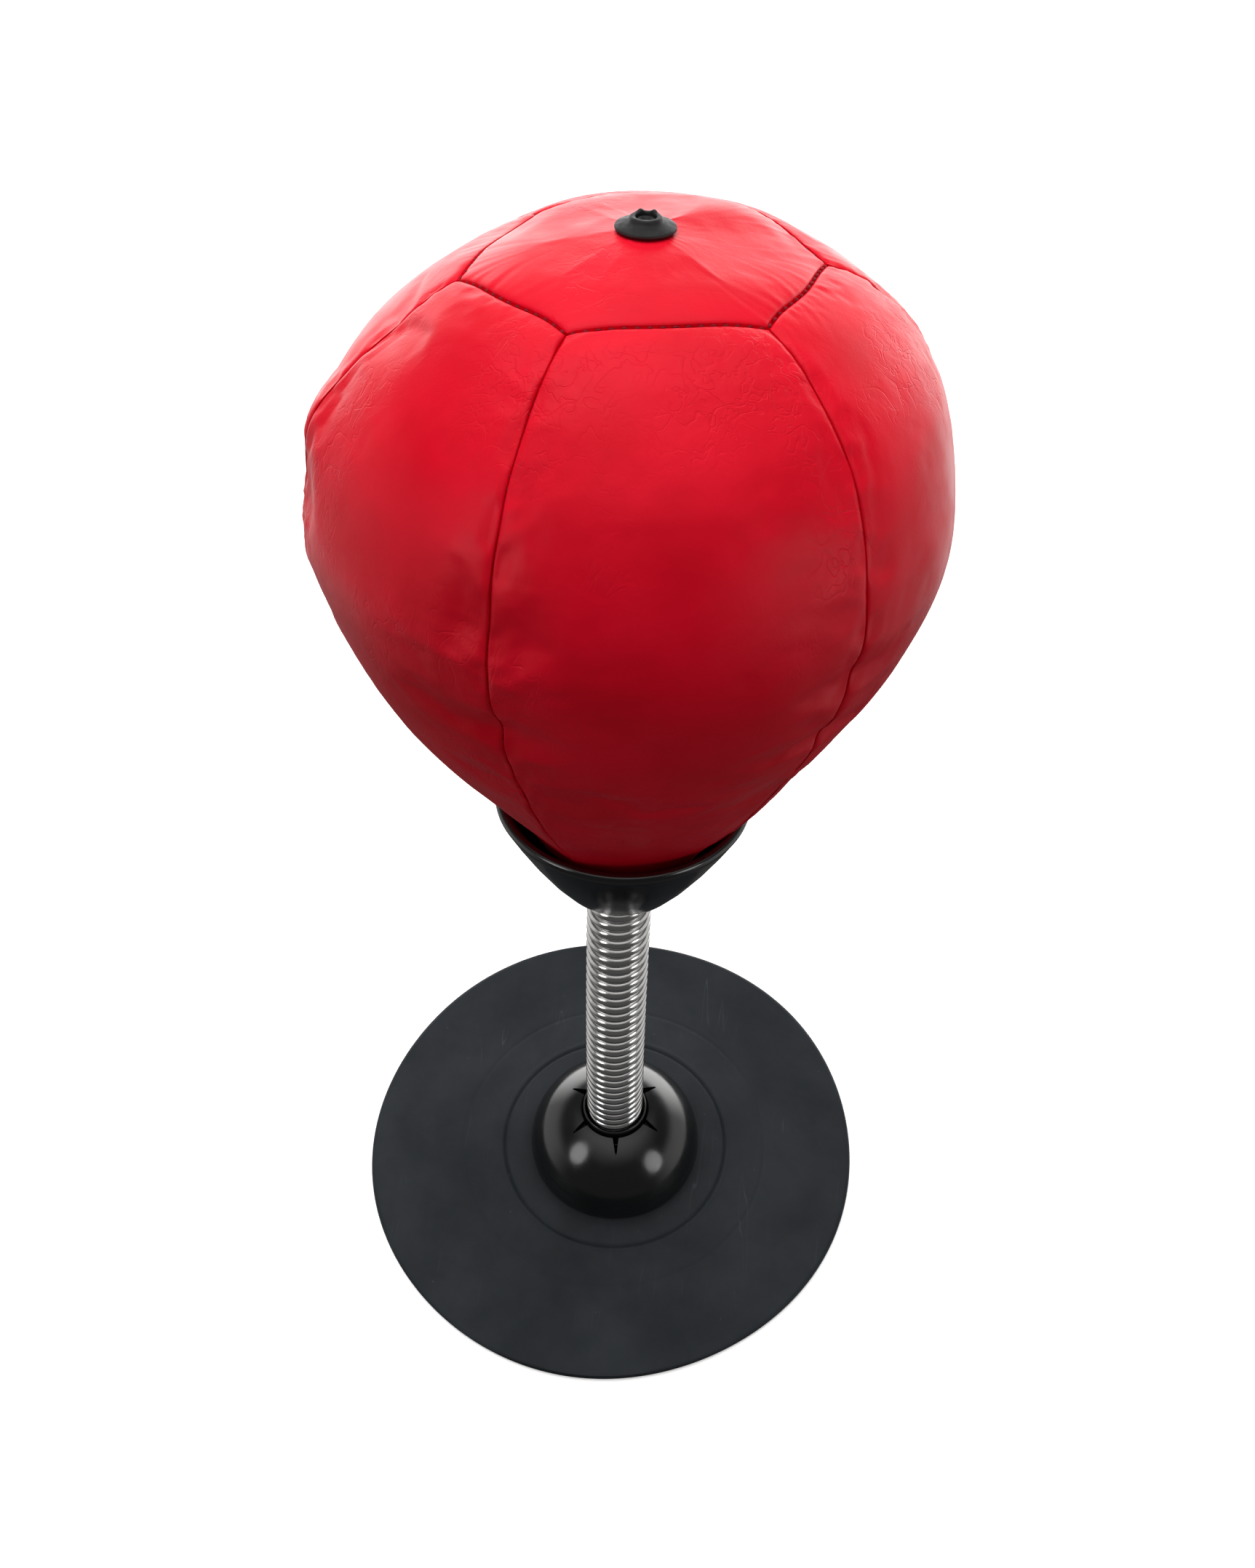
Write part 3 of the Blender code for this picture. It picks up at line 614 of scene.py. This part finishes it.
def inflate():
    """The six panels and the cap as grids of points, after simulation."""
    panels = [panel_grid(index) for index in range(6)]
    cap = cap_grid()
    size = ROWS * COLUMNS
    points = np.concatenate([p.reshape(-1, 3) for p in panels])
    faces = [f for k in range(6) for f in grid_faces(ROWS, COLUMNS, k * size)]
    edge = np.zeros((ROWS, COLUMNS), bool)
    edge[0] = edge[-1] = edge[:, 0] = edge[:, -1] = True
    shaped = simulate("panels_cloth", points, faces, np.tile(edge.ravel(), 6), PANEL_MOVES, SLACK)
    shaped = shaped.reshape(6, ROWS, COLUMNS, 3)
    above_cup = smooth((np.linspace(0, 1, ROWS) - FADE_FROM) / FADE_OVER)[:, None, None]
    panels = [start + (end - start) * above_cup for start, end in zip(panels, shaped)]
    edge = np.zeros((CAP_ROWS, CAP_COLUMNS), bool)
    edge[0] = edge[-1] = True
    faces = grid_faces(CAP_ROWS, CAP_COLUMNS, ring=True)
    shaped = simulate("cap_cloth", cap.reshape(-1, 3), faces, edge.ravel(), CAP_MOVES, 0.0)
    return panels, cap + CAP_SHARE * (shaped.reshape(cap.shape) - cap)


# ---------------------------------------------------------------- the sewn cover

def resample(grid, at, axis, wrap=False):
    """Catmull-Rom through a grid's points, at places counted in its steps."""
    grid = np.moveaxis(grid, axis, 0)
    count = len(grid)
    base = np.floor(at).astype(int)
    if not wrap:
        base = np.clip(base, 0, count - 2)
    x = (at - base).reshape(-1, *([1] * (grid.ndim - 1)))

    def row(k):
        if wrap:
            return grid[(base + k) % count]
        inside = np.clip(base + k, 0, count - 1)
        value = grid[inside]
        over = (base + k < 0) | (base + k > count - 1)
        mirror = 2 * value - grid[np.clip(2 * inside - (base + k), 0, count - 1)]
        return np.where(over.reshape(x.shape), mirror, value)

    p0, p1, p2, p3 = (row(k) for k in (-1, 0, 1, 2))
    result = 0.5 * (2 * p1 + (p2 - p0) * x + (2 * p0 - 5 * p1 + 4 * p2 - p3) * x**2
                    + (3 * p1 - p0 - 3 * p2 + p3) * x**3)
    return np.moveaxis(result, 0, axis)


def grid_normals(grid, ring=False):
    if ring:
        across = np.roll(grid, -1, 1) - np.roll(grid, 1, 1)
    else:
        across = np.gradient(grid, axis=1)
    along = np.gradient(grid, axis=0)
    normal = np.cross(across, along)
    return normal / np.maximum(np.linalg.norm(normal, axis=2, keepdims=True), 1e-12)


def wrinkles(along, distance, seed):
    """Soft folds that leave a seam: along and distance are in metres."""
    phase = seed * 17.3
    slant = along + 0.35 * distance * np.sin(along * 210 + phase)
    folds = (np.sin(slant * 1450 + phase) + 0.8 * np.sin(slant * 2310 + 2.1 * phase)
             + 0.9 * np.sin(slant * 870 + 1.3 * phase + 120 * distance))
    patch = smooth(0.5 + 0.9 * np.sin(along * 95 + phase) * np.sin(along * 41 + 0.6 * phase))
    fade = np.exp(-distance / 0.0075) * smooth(distance / 0.0014)
    return 0.06 * MM * folds * (0.25 + patch) * fade


def closed_piece(name, outer, inner, ring):
    """Closed mesh between an outer and an inner grid."""
    rows, columns = outer.shape[:2]
    size = rows * columns
    faces = grid_faces(rows, columns, 0, ring) + grid_faces(rows, columns, size, ring, flip=True)
    last = (rows - 1) * columns
    for j in range(columns if ring else columns - 1):
        k = (j + 1) % columns
        faces.append((j, size + j, size + k, k))
        faces.append((last + k, size + last + k, size + last + j, last + j))
    if not ring:
        for i in range(rows - 1):
            a, b = i * columns, (i + 1) * columns
            faces.append((b, size + b, size + a, a))
            a, b = a + columns - 1, b + columns - 1
            faces.append((a, size + a, size + b, b))
    points = np.concatenate([outer.reshape(-1, 3), inner.reshape(-1, 3)])
    return sharpen(make_object(name, points, faces, MATERIAL["red_leather"]), 60)


def edge_places(length):
    """Places along a length whose far end is a turned edge: even, then close together at that edge."""
    near = [CAP_ROLL_WIDE * x * MM for x, _ in ROLL]
    even = length - ROLL_REACH
    count = max(8, round(even / ROW_STEP))
    return np.array(list(np.linspace(0.0, even, count + 1)) + [length - x for x in near[::-1]])


def path_length(points):
    return float(np.linalg.norm(np.diff(points, axis=0), axis=1).sum())


def make_panel_piece(index, grid):
    length = path_length(grid[:, COLUMNS // 2])
    rows_at = edge_places(length)
    tall = resample(grid, rows_at / length * (ROWS - 1), 0)
    step = 2 * np.linspace(0, 1, 41) - 1
    edge = np.array([d * MM for _, d in ROLL]) * SIDE_ROLL_DEEP
    side_depth = np.concatenate([edge, np.zeros(len(step)), edge[::-1]])
    outer, from_seam = [], []
    for row in tall:
        half = path_length(row) / 2
        reach = min(ROLL_REACH, half * 0.5)
        scale = reach / ROLL_REACH
        near = np.array([x * MM for x, _ in ROLL]) * scale * SIDE_ROLL_WIDE
        x = np.concatenate([-(half - near), (half - reach) * step, (half - near)[::-1]])
        u = (x / half + 1) / 2 * (COLUMNS - 1)
        outer.append(resample(row, u, 0))
        from_seam.append(half - np.abs(x))
    outer, from_seam = np.array(outer), np.array(from_seam)
    normals = grid_normals(outer)
    top_depth = np.zeros(len(rows_at))
    top_depth[-len(ROLL):] = [d * MM for _, d in ROLL[::-1]]
    depth = np.maximum(side_depth[None, :], top_depth[:, None])
    right_half = (np.arange(outer.shape[1]) > outer.shape[1] // 2)[None, :]
    folds = wrinkles(rows_at[:, None], from_seam, index * 2.0 + right_half)
    folds = folds + wrinkles(from_seam * 1.7, (length - rows_at)[:, None], index + 9.0) * 0.6
    folds = folds * smooth(rows_at / 0.05)[:, None]
    surface = outer + normals * (folds - depth)[..., None]
    inner = outer - normals * np.maximum(PANEL_T, depth + SKIN_LEFT)[..., None]
    piece = closed_piece(f"cover_panel_{index + 1}", surface, inner, False)
    show(piece, "bag", "red_leather", f"panel_{index + 1}")


def make_cap_piece(grid):
    spokes = np.arange(0, CAP_COLUMNS, 0.5)
    wide = resample(grid, spokes, 1, wrap=True)
    length = path_length(wide[:, 0])
    places = edge_places(length)
    outer = resample(wide, places / length * (CAP_ROWS - 1), 0)
    normals = grid_normals(outer, ring=True)
    if normals[..., 2].mean() < 0:
        normals = -normals
    depth = np.zeros(len(places))
    depth[-len(ROLL):] = [d * MM for _, d in ROLL[::-1]]
    angle = (spokes / CAP_COLUMNS * math.tau)[None, :]
    folds = 0.7 * wrinkles(angle * 0.034, (length - places)[:, None], 4.0)
    surface = outer + normals * (folds - depth[:, None])[..., None]
    inner = outer - normals * np.maximum(PANEL_T, depth[:, None] + SKIN_LEFT)[..., None]
    piece = closed_piece("cover_cap", surface, inner, True)
    show(piece, "bag", "red_leather", "top_cap")


def stitch_row(points, out, sunk, wire):
    """Small rounded stitches along a line of points; out is each point's outward direction."""
    steps = np.linalg.norm(np.diff(points, axis=0), axis=1)
    at = np.concatenate([[0], np.cumsum(steps)])
    count = int(at[-1] / STITCH)
    reach = np.linspace(-0.34, 0.34, 6) * STITCH
    sides = 7

    def between(values, distance):
        return np.array([np.interp(distance, at, values[:, c]) for c in range(3)])

    verts, faces = [], []
    for k in range(count):
        middle = (k + 0.5) * at[-1] / count
        base = len(verts)
        up = between(out, middle)
        ahead = between(points, middle + 0.2 * STITCH) - between(points, middle - 0.2 * STITCH)
        ahead /= np.linalg.norm(ahead)
        side = np.cross(ahead, up)
        side /= np.linalg.norm(side)
        for n, off in enumerate(reach):
            place = between(points, middle + off)
            x = n / (len(reach) - 1) * 2 - 1
            thick = wire * math.sqrt(max(1 - x * x, 0.12))
            lift = -sunk - STITCH_DIVE * x * x
            for r in range(sides):
                a = math.tau * r / sides
                verts.append(place + up * (lift + thick * math.sin(a)) + side * thick * 1.1 * math.cos(a))
        faces += grid_faces(len(reach), sides, base, ring=True)
        faces.append(tuple(base + r for r in range(sides))[::-1])
        faces.append(tuple(base + (len(reach) - 1) * sides + r for r in range(sides)))
    return verts, faces


def make_stitches(panels):
    verts, faces = [], []

    def add(points, out, sunk, wire):
        v, f = stitch_row(points, out, sunk, wire)
        faces.extend(tuple(i + len(verts) for i in face) for face in f)
        verts.extend(v)

    for grid in panels:
        normal = grid_normals(grid)
        add(grid[6:, 0], normal[6:, 0], 0.50 * MM, 0.20 * MM)
        add(grid[-1], normal[-1], 0.36 * MM, 0.33 * MM)
    item = make_object("seam_thread", verts, faces, THREAD)
    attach(item, "bag")


BLADDER_IN, BLADDER_T = 5.2 * MM, 1.2 * MM   # below the ball's outline, and its thickness
BLADDER_NARROWER = 0.965
BLADDER_FOOT = 0.16               # share at which it starts


def make_bladder():
    shares = np.linspace(BLADDER_FOOT, float(crown_share(VALVE_HOLE_R + 0.0012)), 60)
    r, z = (np.interp(shares, SHARES, OUTLINE[:, k]) for k in (0, 1))
    slope_r, slope_z = (np.interp(shares, SHARES, SLOPE[:, k]) for k in (0, 1))

    def skin(depth):
        places = np.stack([(r - depth * slope_z) * BLADDER_NARROWER, z + depth * slope_r], 1)
        return [tuple(p) for p in places]

    outer, inner = skin(BLADDER_IN), skin(BLADDER_IN + BLADDER_T)
    outline = [(0.0, outer[0][1])] + outer + inner[::-1] + [(0.0, inner[0][1])]
    bladder = turned("air_bladder", outline, 96, MATERIAL["bladder_rubber"], matrix=BAG)
    show(bladder, "bag", "bladder_rubber", "bladder")


def make_ball():
    panels, cap = inflate()
    for index, grid in enumerate(panels):
        make_panel_piece(index, grid)
    make_cap_piece(cap)
    make_stitches(panels)
    make_bladder()


# ---------------------------------------------------------------- valve

def make_valve():
    seat = CROWN + 0.0003
    foot = CROWN - 0.0062
    bore, neck = 0.0022, 0.0032
    crown = (BAG @ Matrix.Translation((0, 0, WIDEST_Z)) @ Matrix.Rotation(-CROWN_TILT, 4, "X")
             @ Matrix.Translation((0, 0, -WIDEST_Z)))
    outline = rounded([(bore, foot), (neck, foot), (neck, seat - 0.0002), (0.0061, seat - 0.0004),
                       (0.0065, seat), (0.0064, seat + 0.0005), (0.0050, seat + 0.0010),
                       (0.0036, seat + 0.0015), (0.0033, seat + 0.0024), (bore, seat + 0.0024)], 0.0004)

    def notched(ring, angle):
        """Two small lugs on the flange's rim."""
        for side in (math.radians(62), math.radians(118)):
            off = (angle - side + math.pi) % math.tau - math.pi
            high = smooth((ring[:, 2] - seat - 0.0016) / 0.0006)
            ring[:, 2] += 0.0005 * math.exp(-(off / 0.22) ** 2) * high
        return ring

    flange = turned("valve_seat", outline, 96, MATERIAL["valve_rubber"], notched, crown)
    show(flange, "bag", "valve_rubber", "valve_flange")
    top, needle, core_r = seat + 0.0018, 0.0006, 0.0019
    outline = rounded([(needle, foot + 0.0006), (core_r, foot + 0.0006), (core_r, top), (0.0013, top),
                       (needle, top - 0.0006)], 0.0002)
    core = turned("valve_insert", outline, 48, MATERIAL["valve_rubber"], None, crown)
    show(core, "bag", "valve_rubber", "valve_core")


# ---------------------------------------------------------------- cup

# radius and height of the cup's outside, from its hub to its lip
CUP_SIDE = [
    (0.0132, 0.0006), (0.0173, 0.0042), (0.0217, 0.0105), (0.0268, 0.0190), (0.0308, 0.0265), (0.0336, 0.0322),
]
CUP_TOP = 0.0345
CUP_SPARE = 0.0006                # between the ball and the cup
SOCKET_R, SOCKET_TOP = 0.0095, 0.0098   # the hub's socket for the upper plug
CUP_BOLT_R, CUP_FLOOR = 0.0023, 0.0122


def make_cup():
    inner = []
    for share in np.linspace(foot_share(PATCH_R + 0.0015), 0.5, 90):
        r, z = (float(np.interp(share, SHARES, OUTLINE[:, k])) for k in (0, 1))
        slope_r, slope_z = (float(np.interp(share, SHARES, SLOPE[:, k])) for k in (0, 1))
        if z > CUP_TOP - 0.0010:
            break
        inner.append((r + CUP_SPARE * slope_z, z - CUP_SPARE * slope_r))
    side = []
    for low, high in zip(CUP_SIDE, CUP_SIDE[1:]):
        side += [tuple(Vector(low).lerp(Vector(high), t)) for t in (0, 1 / 3, 2 / 3)]
    lip = [(0.0337, 0.0329), (0.0336, 0.0337), (0.0331, 0.0342), (0.0324, 0.0343),
           (inner[-1][0] + 0.0006, inner[-1][1] + 0.0008)]
    hub = [(SOCKET_R, 0.0004), (0.0100, 0.0), (0.0124, 0.0), (0.0129, 0.0002)]
    outline = hub + side + [CUP_SIDE[-1]] + lip + inner[::-1]
    outline += [(PATCH_R - 0.001, CUP_FLOOR), (CUP_BOLT_R, CUP_FLOOR), (CUP_BOLT_R, SOCKET_TOP),
                (SOCKET_R, SOCKET_TOP)]
    cup = turned("cup_shell", outline, 160, MATERIAL["gloss_plastic"], None, BAG)
    show(cup, "bag", "gloss_plastic", "holder_cup")


# ---------------------------------------------------------------- spring

def make_spring():
    """One continuous wire, cut into lengths between its hinges."""
    step = (BEND_HIGH - BEND_LOW) / HINGES
    sides, per_turn = 14, 44
    wire_r = WIRE_D / 2
    middle_r = SPRING_R - wire_r
    turns = (COIL_END - COIL_START) / PITCH
    cuts = [0.0] + [(BEND_LOW + k * step - COIL_START) / PITCH for k in range(1, HINGES)] + [turns]
    nodes = ["spring_foot"] + [f"spring_section_{k}" for k in range(1, HINGES)] + ["spring_head"]
    for k in range(HINGES):
        count = max(8, round((cuts[k + 1] - cuts[k]) * per_turn))
        points = []
        for i in range(count + 1):
            turn = cuts[k] + (cuts[k + 1] - cuts[k]) * i / count
            angle = math.tau * turn
            place = frame_at(COIL_START + turn * PITCH)
            out = Vector((math.cos(angle), math.sin(angle), 0))
            climb = PITCH / math.tau / middle_r
            ahead = Vector((-math.sin(angle), math.cos(angle), climb)).normalized()
            up = out.cross(ahead)
            for n in range(sides):
                a = math.tau * n / sides
                points.append(place @ (out * middle_r + wire_r * (out * math.cos(a) + up * math.sin(a))))
        faces = grid_faces(count + 1, sides, 0, ring=True)
        faces.append(tuple(range(sides)))
        faces.append(tuple(count * sides + n for n in range(sides)))
        wire = sharpen(make_object(f"spring_wire_{k + 1}", points, faces, MATERIAL["chromed_spring"]), 50)
        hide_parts(*([nodes[k], nodes[k + 1]] if k == HINGES - 1 else [nodes[k]]))
        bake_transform(wire)


# ---------------------------------------------------------------- base

DISC_R, DISC_TOP, DISC_EDGE = 0.080, 0.0070, 0.0022
DISC_FLAT_R = 0.030
CHAMBER_R, CHAMBER_TOP = 0.021, 0.0022       # the shallow hollow under the disc starts here
POCKET_R, POCKET_FLOOR = 0.0143, 0.0049      # the stiffener plate's seat
HEAD_R, HEAD_FLOOR = 0.0050, 0.0016          # the bolt head's pocket
# rings on the disc's top: radius, height, width
DISC_RINGS = [(0.0369, -0.0005, 0.00045), (0.0382, 0.00012, 0.0006), (0.0505, -0.00016, 0.0006)]


def disc_top(r):
    """Height of the disc's top at a radius, with its rings."""
    share = (r - DISC_FLAT_R) / (DISC_R - DISC_FLAT_R)
    z = DISC_TOP - (DISC_TOP - DISC_EDGE) * math.sin(min(max(share, 0), 1) * math.pi / 2) ** 1.2
    for ring_r, height, width in DISC_RINGS:
        z += height * bell((r - ring_r) / width)
    return z


def make_disc():
    outline = [(0, 0), (0.018, 0), (CHAMBER_R, CHAMBER_TOP), (0.058, CHAMBER_TOP), (0.062, 0),
               (DISC_R - 0.0006, 0), (DISC_R - 0.0002, 0.0003), (DISC_R, 0.0009),
               (DISC_R - 0.0001, 0.0015), (DISC_R - 0.0005, 0.0020)]
    for r in np.linspace(DISC_R - 0.0012, DISC_FLAT_R + 0.0004, 150):
        outline.append((float(r), float(disc_top(r))))
    outline += [(DISC_FLAT_R, DISC_TOP), (POCKET_R, DISC_TOP), (POCKET_R, POCKET_FLOOR),
                (HEAD_R, POCKET_FLOOR), (HEAD_R, HEAD_FLOOR), (0, HEAD_FLOOR)]

    def wavy(ring, angle):
        """The soft disc's edge isn't quite round and isn't quite flat."""
        grow = smooth((ring[:, :2] ** 2).sum(1) ** 0.5 / DISC_R * 1.6 - 0.6)
        wave = (-1.2 * math.cos(angle) + 1.2 * math.sin(angle) + 0.85 * math.cos(2 * angle)
                + 0.9 * math.sin(2 * angle) + 0.25 * math.cos(5 * angle + 2)) * MM
        r = np.hypot(ring[:, 0], ring[:, 1])
        scale = 1 + grow * wave / np.maximum(r, 1e-6)
        ring[:, 0] *= scale
        ring[:, 1] *= scale
        lift = 0.10 * MM * grow * (math.sin(4 * angle + 1) + math.sin(7 * angle))
        ring[:, 2] += np.where(ring[:, 2] > 0.0019, lift, 0)
        return ring

    disc = turned("rubber_disc", outline, 240, MATERIAL["disc_rubber"], wavy)
    show(disc, "base", "disc_rubber", "suction_disc")


SLITS, SLIT_TURN = 6, math.radians(-22)
SLIT_LONG, SLIT_WIDE, SLIT_THIN = 0.0052, 0.00135, 0.00030   # length, half widths at mouth and end
DOME_BOLT_R = 0.0023


def slit_cutter(mouth, low, high):
    """A mesh of tapering wedges round the dome's mouth."""
    bm = bmesh.new()
    start, shoulder = mouth - 0.002, mouth + SLIT_LONG - 0.0005
    plan = [(start, -SLIT_WIDE), (shoulder, -SLIT_THIN), (mouth + SLIT_LONG, 0), (shoulder, SLIT_THIN),
            (start, SLIT_WIDE)]
    for i in range(SLITS):
        turn = Matrix.Rotation(SLIT_TURN + math.tau * i / SLITS, 4, "Z")
        rings = [[bm.verts.new(turn @ Vector((x, y, z))) for x, y in plan] for z in (low, high)]
        bm.faces.new(rings[0][::-1])
        bm.faces.new(rings[1])
        for a in range(len(plan)):
            b = (a + 1) % len(plan)
            bm.faces.new((rings[0][a], rings[0][b], rings[1][b], rings[1][a]))
    mesh = bpy.data.meshes.new("slit_cutter")
    bm.to_mesh(mesh)
    bm.free()
    cutter = bpy.data.objects.new("slit_cutter", mesh)
    bpy.context.scene.collection.objects.link(cutter)
    return cutter


def make_dome():
    foot = DISC_TOP + 0.0003
    radius, rise, wall, mouth = 0.0280, 0.0265, 0.0020, 0.0107
    floor_top = foot + 0.0018
    outer, inner = [], []
    last = math.acos(mouth / radius)
    for i in range(30):
        a = last * i / 29
        outer.append((radius * math.cos(a), foot + 0.0008 + rise * math.sin(a)))
    last = math.acos(mouth / (radius - wall))
    for i in range(20):
        a = last * (19 - i) / 19
        point = ((radius - wall) * math.cos(a), foot + (rise - wall) * math.sin(a))
        if point[1] > floor_top:
            inner.append(point)
    outer[-1] = (outer[-1][0] + 0.0004, outer[-1][1] - 0.0001)
    outline = [(DOME_BOLT_R, foot), (radius - 0.0004, foot), (radius - 0.0001, foot + 0.0003)] + outer
    outline += [(mouth, outer[-1][1] - 0.0004)] + inner
    outline += [(radius - wall, floor_top), (DOME_BOLT_R, floor_top)]
    dome = turned("dome_shell", outline, 200, MATERIAL["gloss_plastic"])
    cutter = slit_cutter(mouth, foot + rise * 0.55, foot + rise * 1.2)
    cut = dome.modifiers.new("slits", "BOOLEAN")
    cut.operation, cut.object, cut.solver = "DIFFERENCE", cutter, "EXACT"
    shaped = bpy.data.meshes.new_from_object(dome.evaluated_get(bpy.context.evaluated_depsgraph_get()))
    dome.modifiers.clear()
    dome.data = shaped
    bpy.data.objects.remove(cutter)
    sharpen(dome, 35)
    show(dome, "base", "gloss_plastic", "base_dome")


def make_collar():
    inner_r, outer_r, low = SPRING_R + 0.0006, 0.0103, 0.0262
    outline = rounded([(inner_r, low), (outer_r, low), (outer_r, 0.0335), (0.0100, 0.0342),
                       (inner_r, 0.0339)], 0.0003)
    collar = turned("collar_ring", outline, 96, MATERIAL["gloss_plastic"])
    show(collar, "base", "gloss_plastic", "foot_collar")


# ---------------------------------------------------------------- studio

FLOOR_HALF = 30.0
WALL_R, WALL_SIDES, WALL_LOW, WALL_HIGH = 20, 64, -1.0, 20.0
WORLD_DIM, WORLD_LIGHT = 0.07, 0.70 # level and overhead
SIDE_LIGHT, BACK_LIGHT = 0.50, 3.3  # low round the sides and the back; the front is dark
TOP_LIGHT = 3.1                     # broad lamp overhead, too soft to show as a highlight
TOP_FROM = (-0.14, 0.40, 0.91)
# name, direction from the object, distance, width, height, power
LIGHTS = [
    ("left", (-0.70, -0.59, 0.39), 1.3, 0.50, 0.76, 2.2),
    ("right", (0.84, -0.50, 0.20), 1.3, 0.50, 0.70, 1.9),
]
LIGHTS_AIM = (0, 0.02, 0.15)
CAMERA_TURN = math.radians(6.7)     # round the object; the two places are before this turn
CAMERA_AT, CAMERA_AIM = (0, -0.24512, 0.54064), (0, 0.0225, 0.1786)
LENS, SENSOR, SHIFT_X = 39.115, 36.0, 0.0081


def stage_material(name, base, glow):
    material = bpy.data.materials.new(name)
    material.use_nodes = True
    shader = material.node_tree.nodes["Principled BSDF"]
    shader.inputs["Base Color"].default_value = (base, base, base, 1)
    shader.inputs["Emission Color"].default_value = (1, 1, 1, 1)
    shader.inputs["Emission Strength"].default_value = glow
    return material


def make_floor_and_wall():
    size = FLOOR_HALF
    material = stage_material("floor", 0.93, 0.35)
    shader = material.node_tree.nodes["Principled BSDF"]
    shader.inputs["Roughness"].default_value = 0.9
    shader.inputs["Specular IOR Level"].default_value = 0.1
    corners = [(-size, -size, 0), (size, -size, 0), (size, size, 0), (-size, size, 0)]
    floor = make_object("floor", corners, [(0, 1, 2, 3)], material)
    floor.location.z = -0.0002
    floor.visible_diffuse = floor.visible_glossy = False

    ring = [math.tau * k / WALL_SIDES for k in range(WALL_SIDES)]
    points = [(WALL_R * math.cos(a), WALL_R * math.sin(a), z) for z in (WALL_LOW, WALL_HIGH) for a in ring]
    wall = make_object("backdrop", points, grid_faces(2, WALL_SIDES, 0, ring=True),
                       stage_material("backdrop", 0, 1.0))
    wall.visible_diffuse = wall.visible_glossy = wall.visible_shadow = False


def make_world():
    """Dim all round, brighter overhead, with a glow low round the sides and the back."""
    world = bpy.data.worlds.new("studio")
    world.use_nodes = True
    tree = world.node_tree
    place = tree.nodes.new("ShaderNodeTexCoord")
    split = tree.nodes.new("ShaderNodeSeparateXYZ")
    tree.links.new(place.outputs["Generated"], split.inputs[0])
    x, y, z = (split.outputs[axis] for axis in "XYZ")

    def math_node(operation, first, second=0.0, third=0.0):
        node = tree.nodes.new("ShaderNodeMath")
        node.operation = operation
        for socket, value in zip(node.inputs, (first, second, third)):
            if isinstance(value, float):
                socket.default_value = value
            else:
                tree.links.new(value, socket)
        return node.outputs[0]

    def fade(value, low, high, out_low=0.0, out_high=1.0):
        node = tree.nodes.new("ShaderNodeMapRange")
        node.interpolation_type = "SMOOTHSTEP"
        for socket, number in zip(list(node.inputs)[1:], (low, high, out_low, out_high)):
            socket.default_value = number
        tree.links.new(value, node.inputs[0])
        return node.outputs[0]

    overhead = fade(z, 0.50, 1.00, WORLD_DIM, WORLD_LIGHT)
    aside = math_node("MULTIPLY_ADD", math_node("ABSOLUTE", x), 0.9, math_node("MULTIPLY", y, 0.8))
    level = math_node("SUBTRACT", 1.0, fade(z, 0.08, 0.36))
    level = math_node("MULTIPLY", level, fade(z, -0.85, -0.60))
    behind = math_node("MULTIPLY_ADD", fade(y, 0.45, 0.95), BACK_LIGHT - SIDE_LIGHT, SIDE_LIGHT)
    glow = math_node("MULTIPLY", math_node("MULTIPLY", fade(aside, 0.10, 0.90), level), behind)
    background = tree.nodes["Background"]
    tree.links.new(math_node("ADD", overhead, glow), background.inputs["Strength"])
    background.inputs["Color"].default_value = (1.0, 0.99, 0.98, 1)
    bpy.context.scene.world = world


def facing(direction):
    return Vector(direction).to_track_quat("-Z", "Y").to_euler()


def make_lights():
    lamp = bpy.data.lights.new("top", "SUN")
    lamp.energy, lamp.angle = TOP_LIGHT, math.radians(60)
    top = bpy.data.objects.new("top", lamp)
    top.visible_glossy = False
    top.rotation_euler = facing(-Vector(TOP_FROM))
    bpy.context.scene.collection.objects.link(top)

    for name, direction, far, wide, tall, power in LIGHTS:
        light = bpy.data.lights.new(name, "AREA")
        light.shape = "ELLIPSE"
        light.size, light.size_y, light.energy = wide, tall, power
        item = bpy.data.objects.new(name, light)
        item.location = Vector(LIGHTS_AIM) + Vector(direction).normalized() * far
        item.rotation_euler = facing(-Vector(direction))
        bpy.context.scene.collection.objects.link(item)


def make_camera():
    turn = Matrix.Rotation(CAMERA_TURN, 3, "Z")
    camera = bpy.data.cameras.new("camera")
    camera.sensor_fit = "VERTICAL"
    camera.lens, camera.sensor_width, camera.sensor_height = LENS, SENSOR, SENSOR
    camera.shift_x = SHIFT_X
    camera.clip_start = 0.01
    item = bpy.data.objects.new("camera", camera)
    item.location = turn @ Vector(CAMERA_AT)
    item.rotation_euler = facing(turn @ Vector(CAMERA_AIM) - item.location)
    bpy.context.scene.collection.objects.link(item)
    bpy.context.scene.camera = item
    bpy.context.scene.view_settings.view_transform = "Standard"


make_ball()
make_valve()
make_cup()
make_spring()
make_disc()
make_dome()
make_collar()
slots = {part["node"]: part["material_slot"] for part in frame["record"]["subparts"]}
for name, node in frame["nodes"].items():
    node.data.materials.clear()
    node.data.materials.append(MATERIAL[slots[name]])
make_floor_and_wall()
make_world()
make_lights()
make_camera()
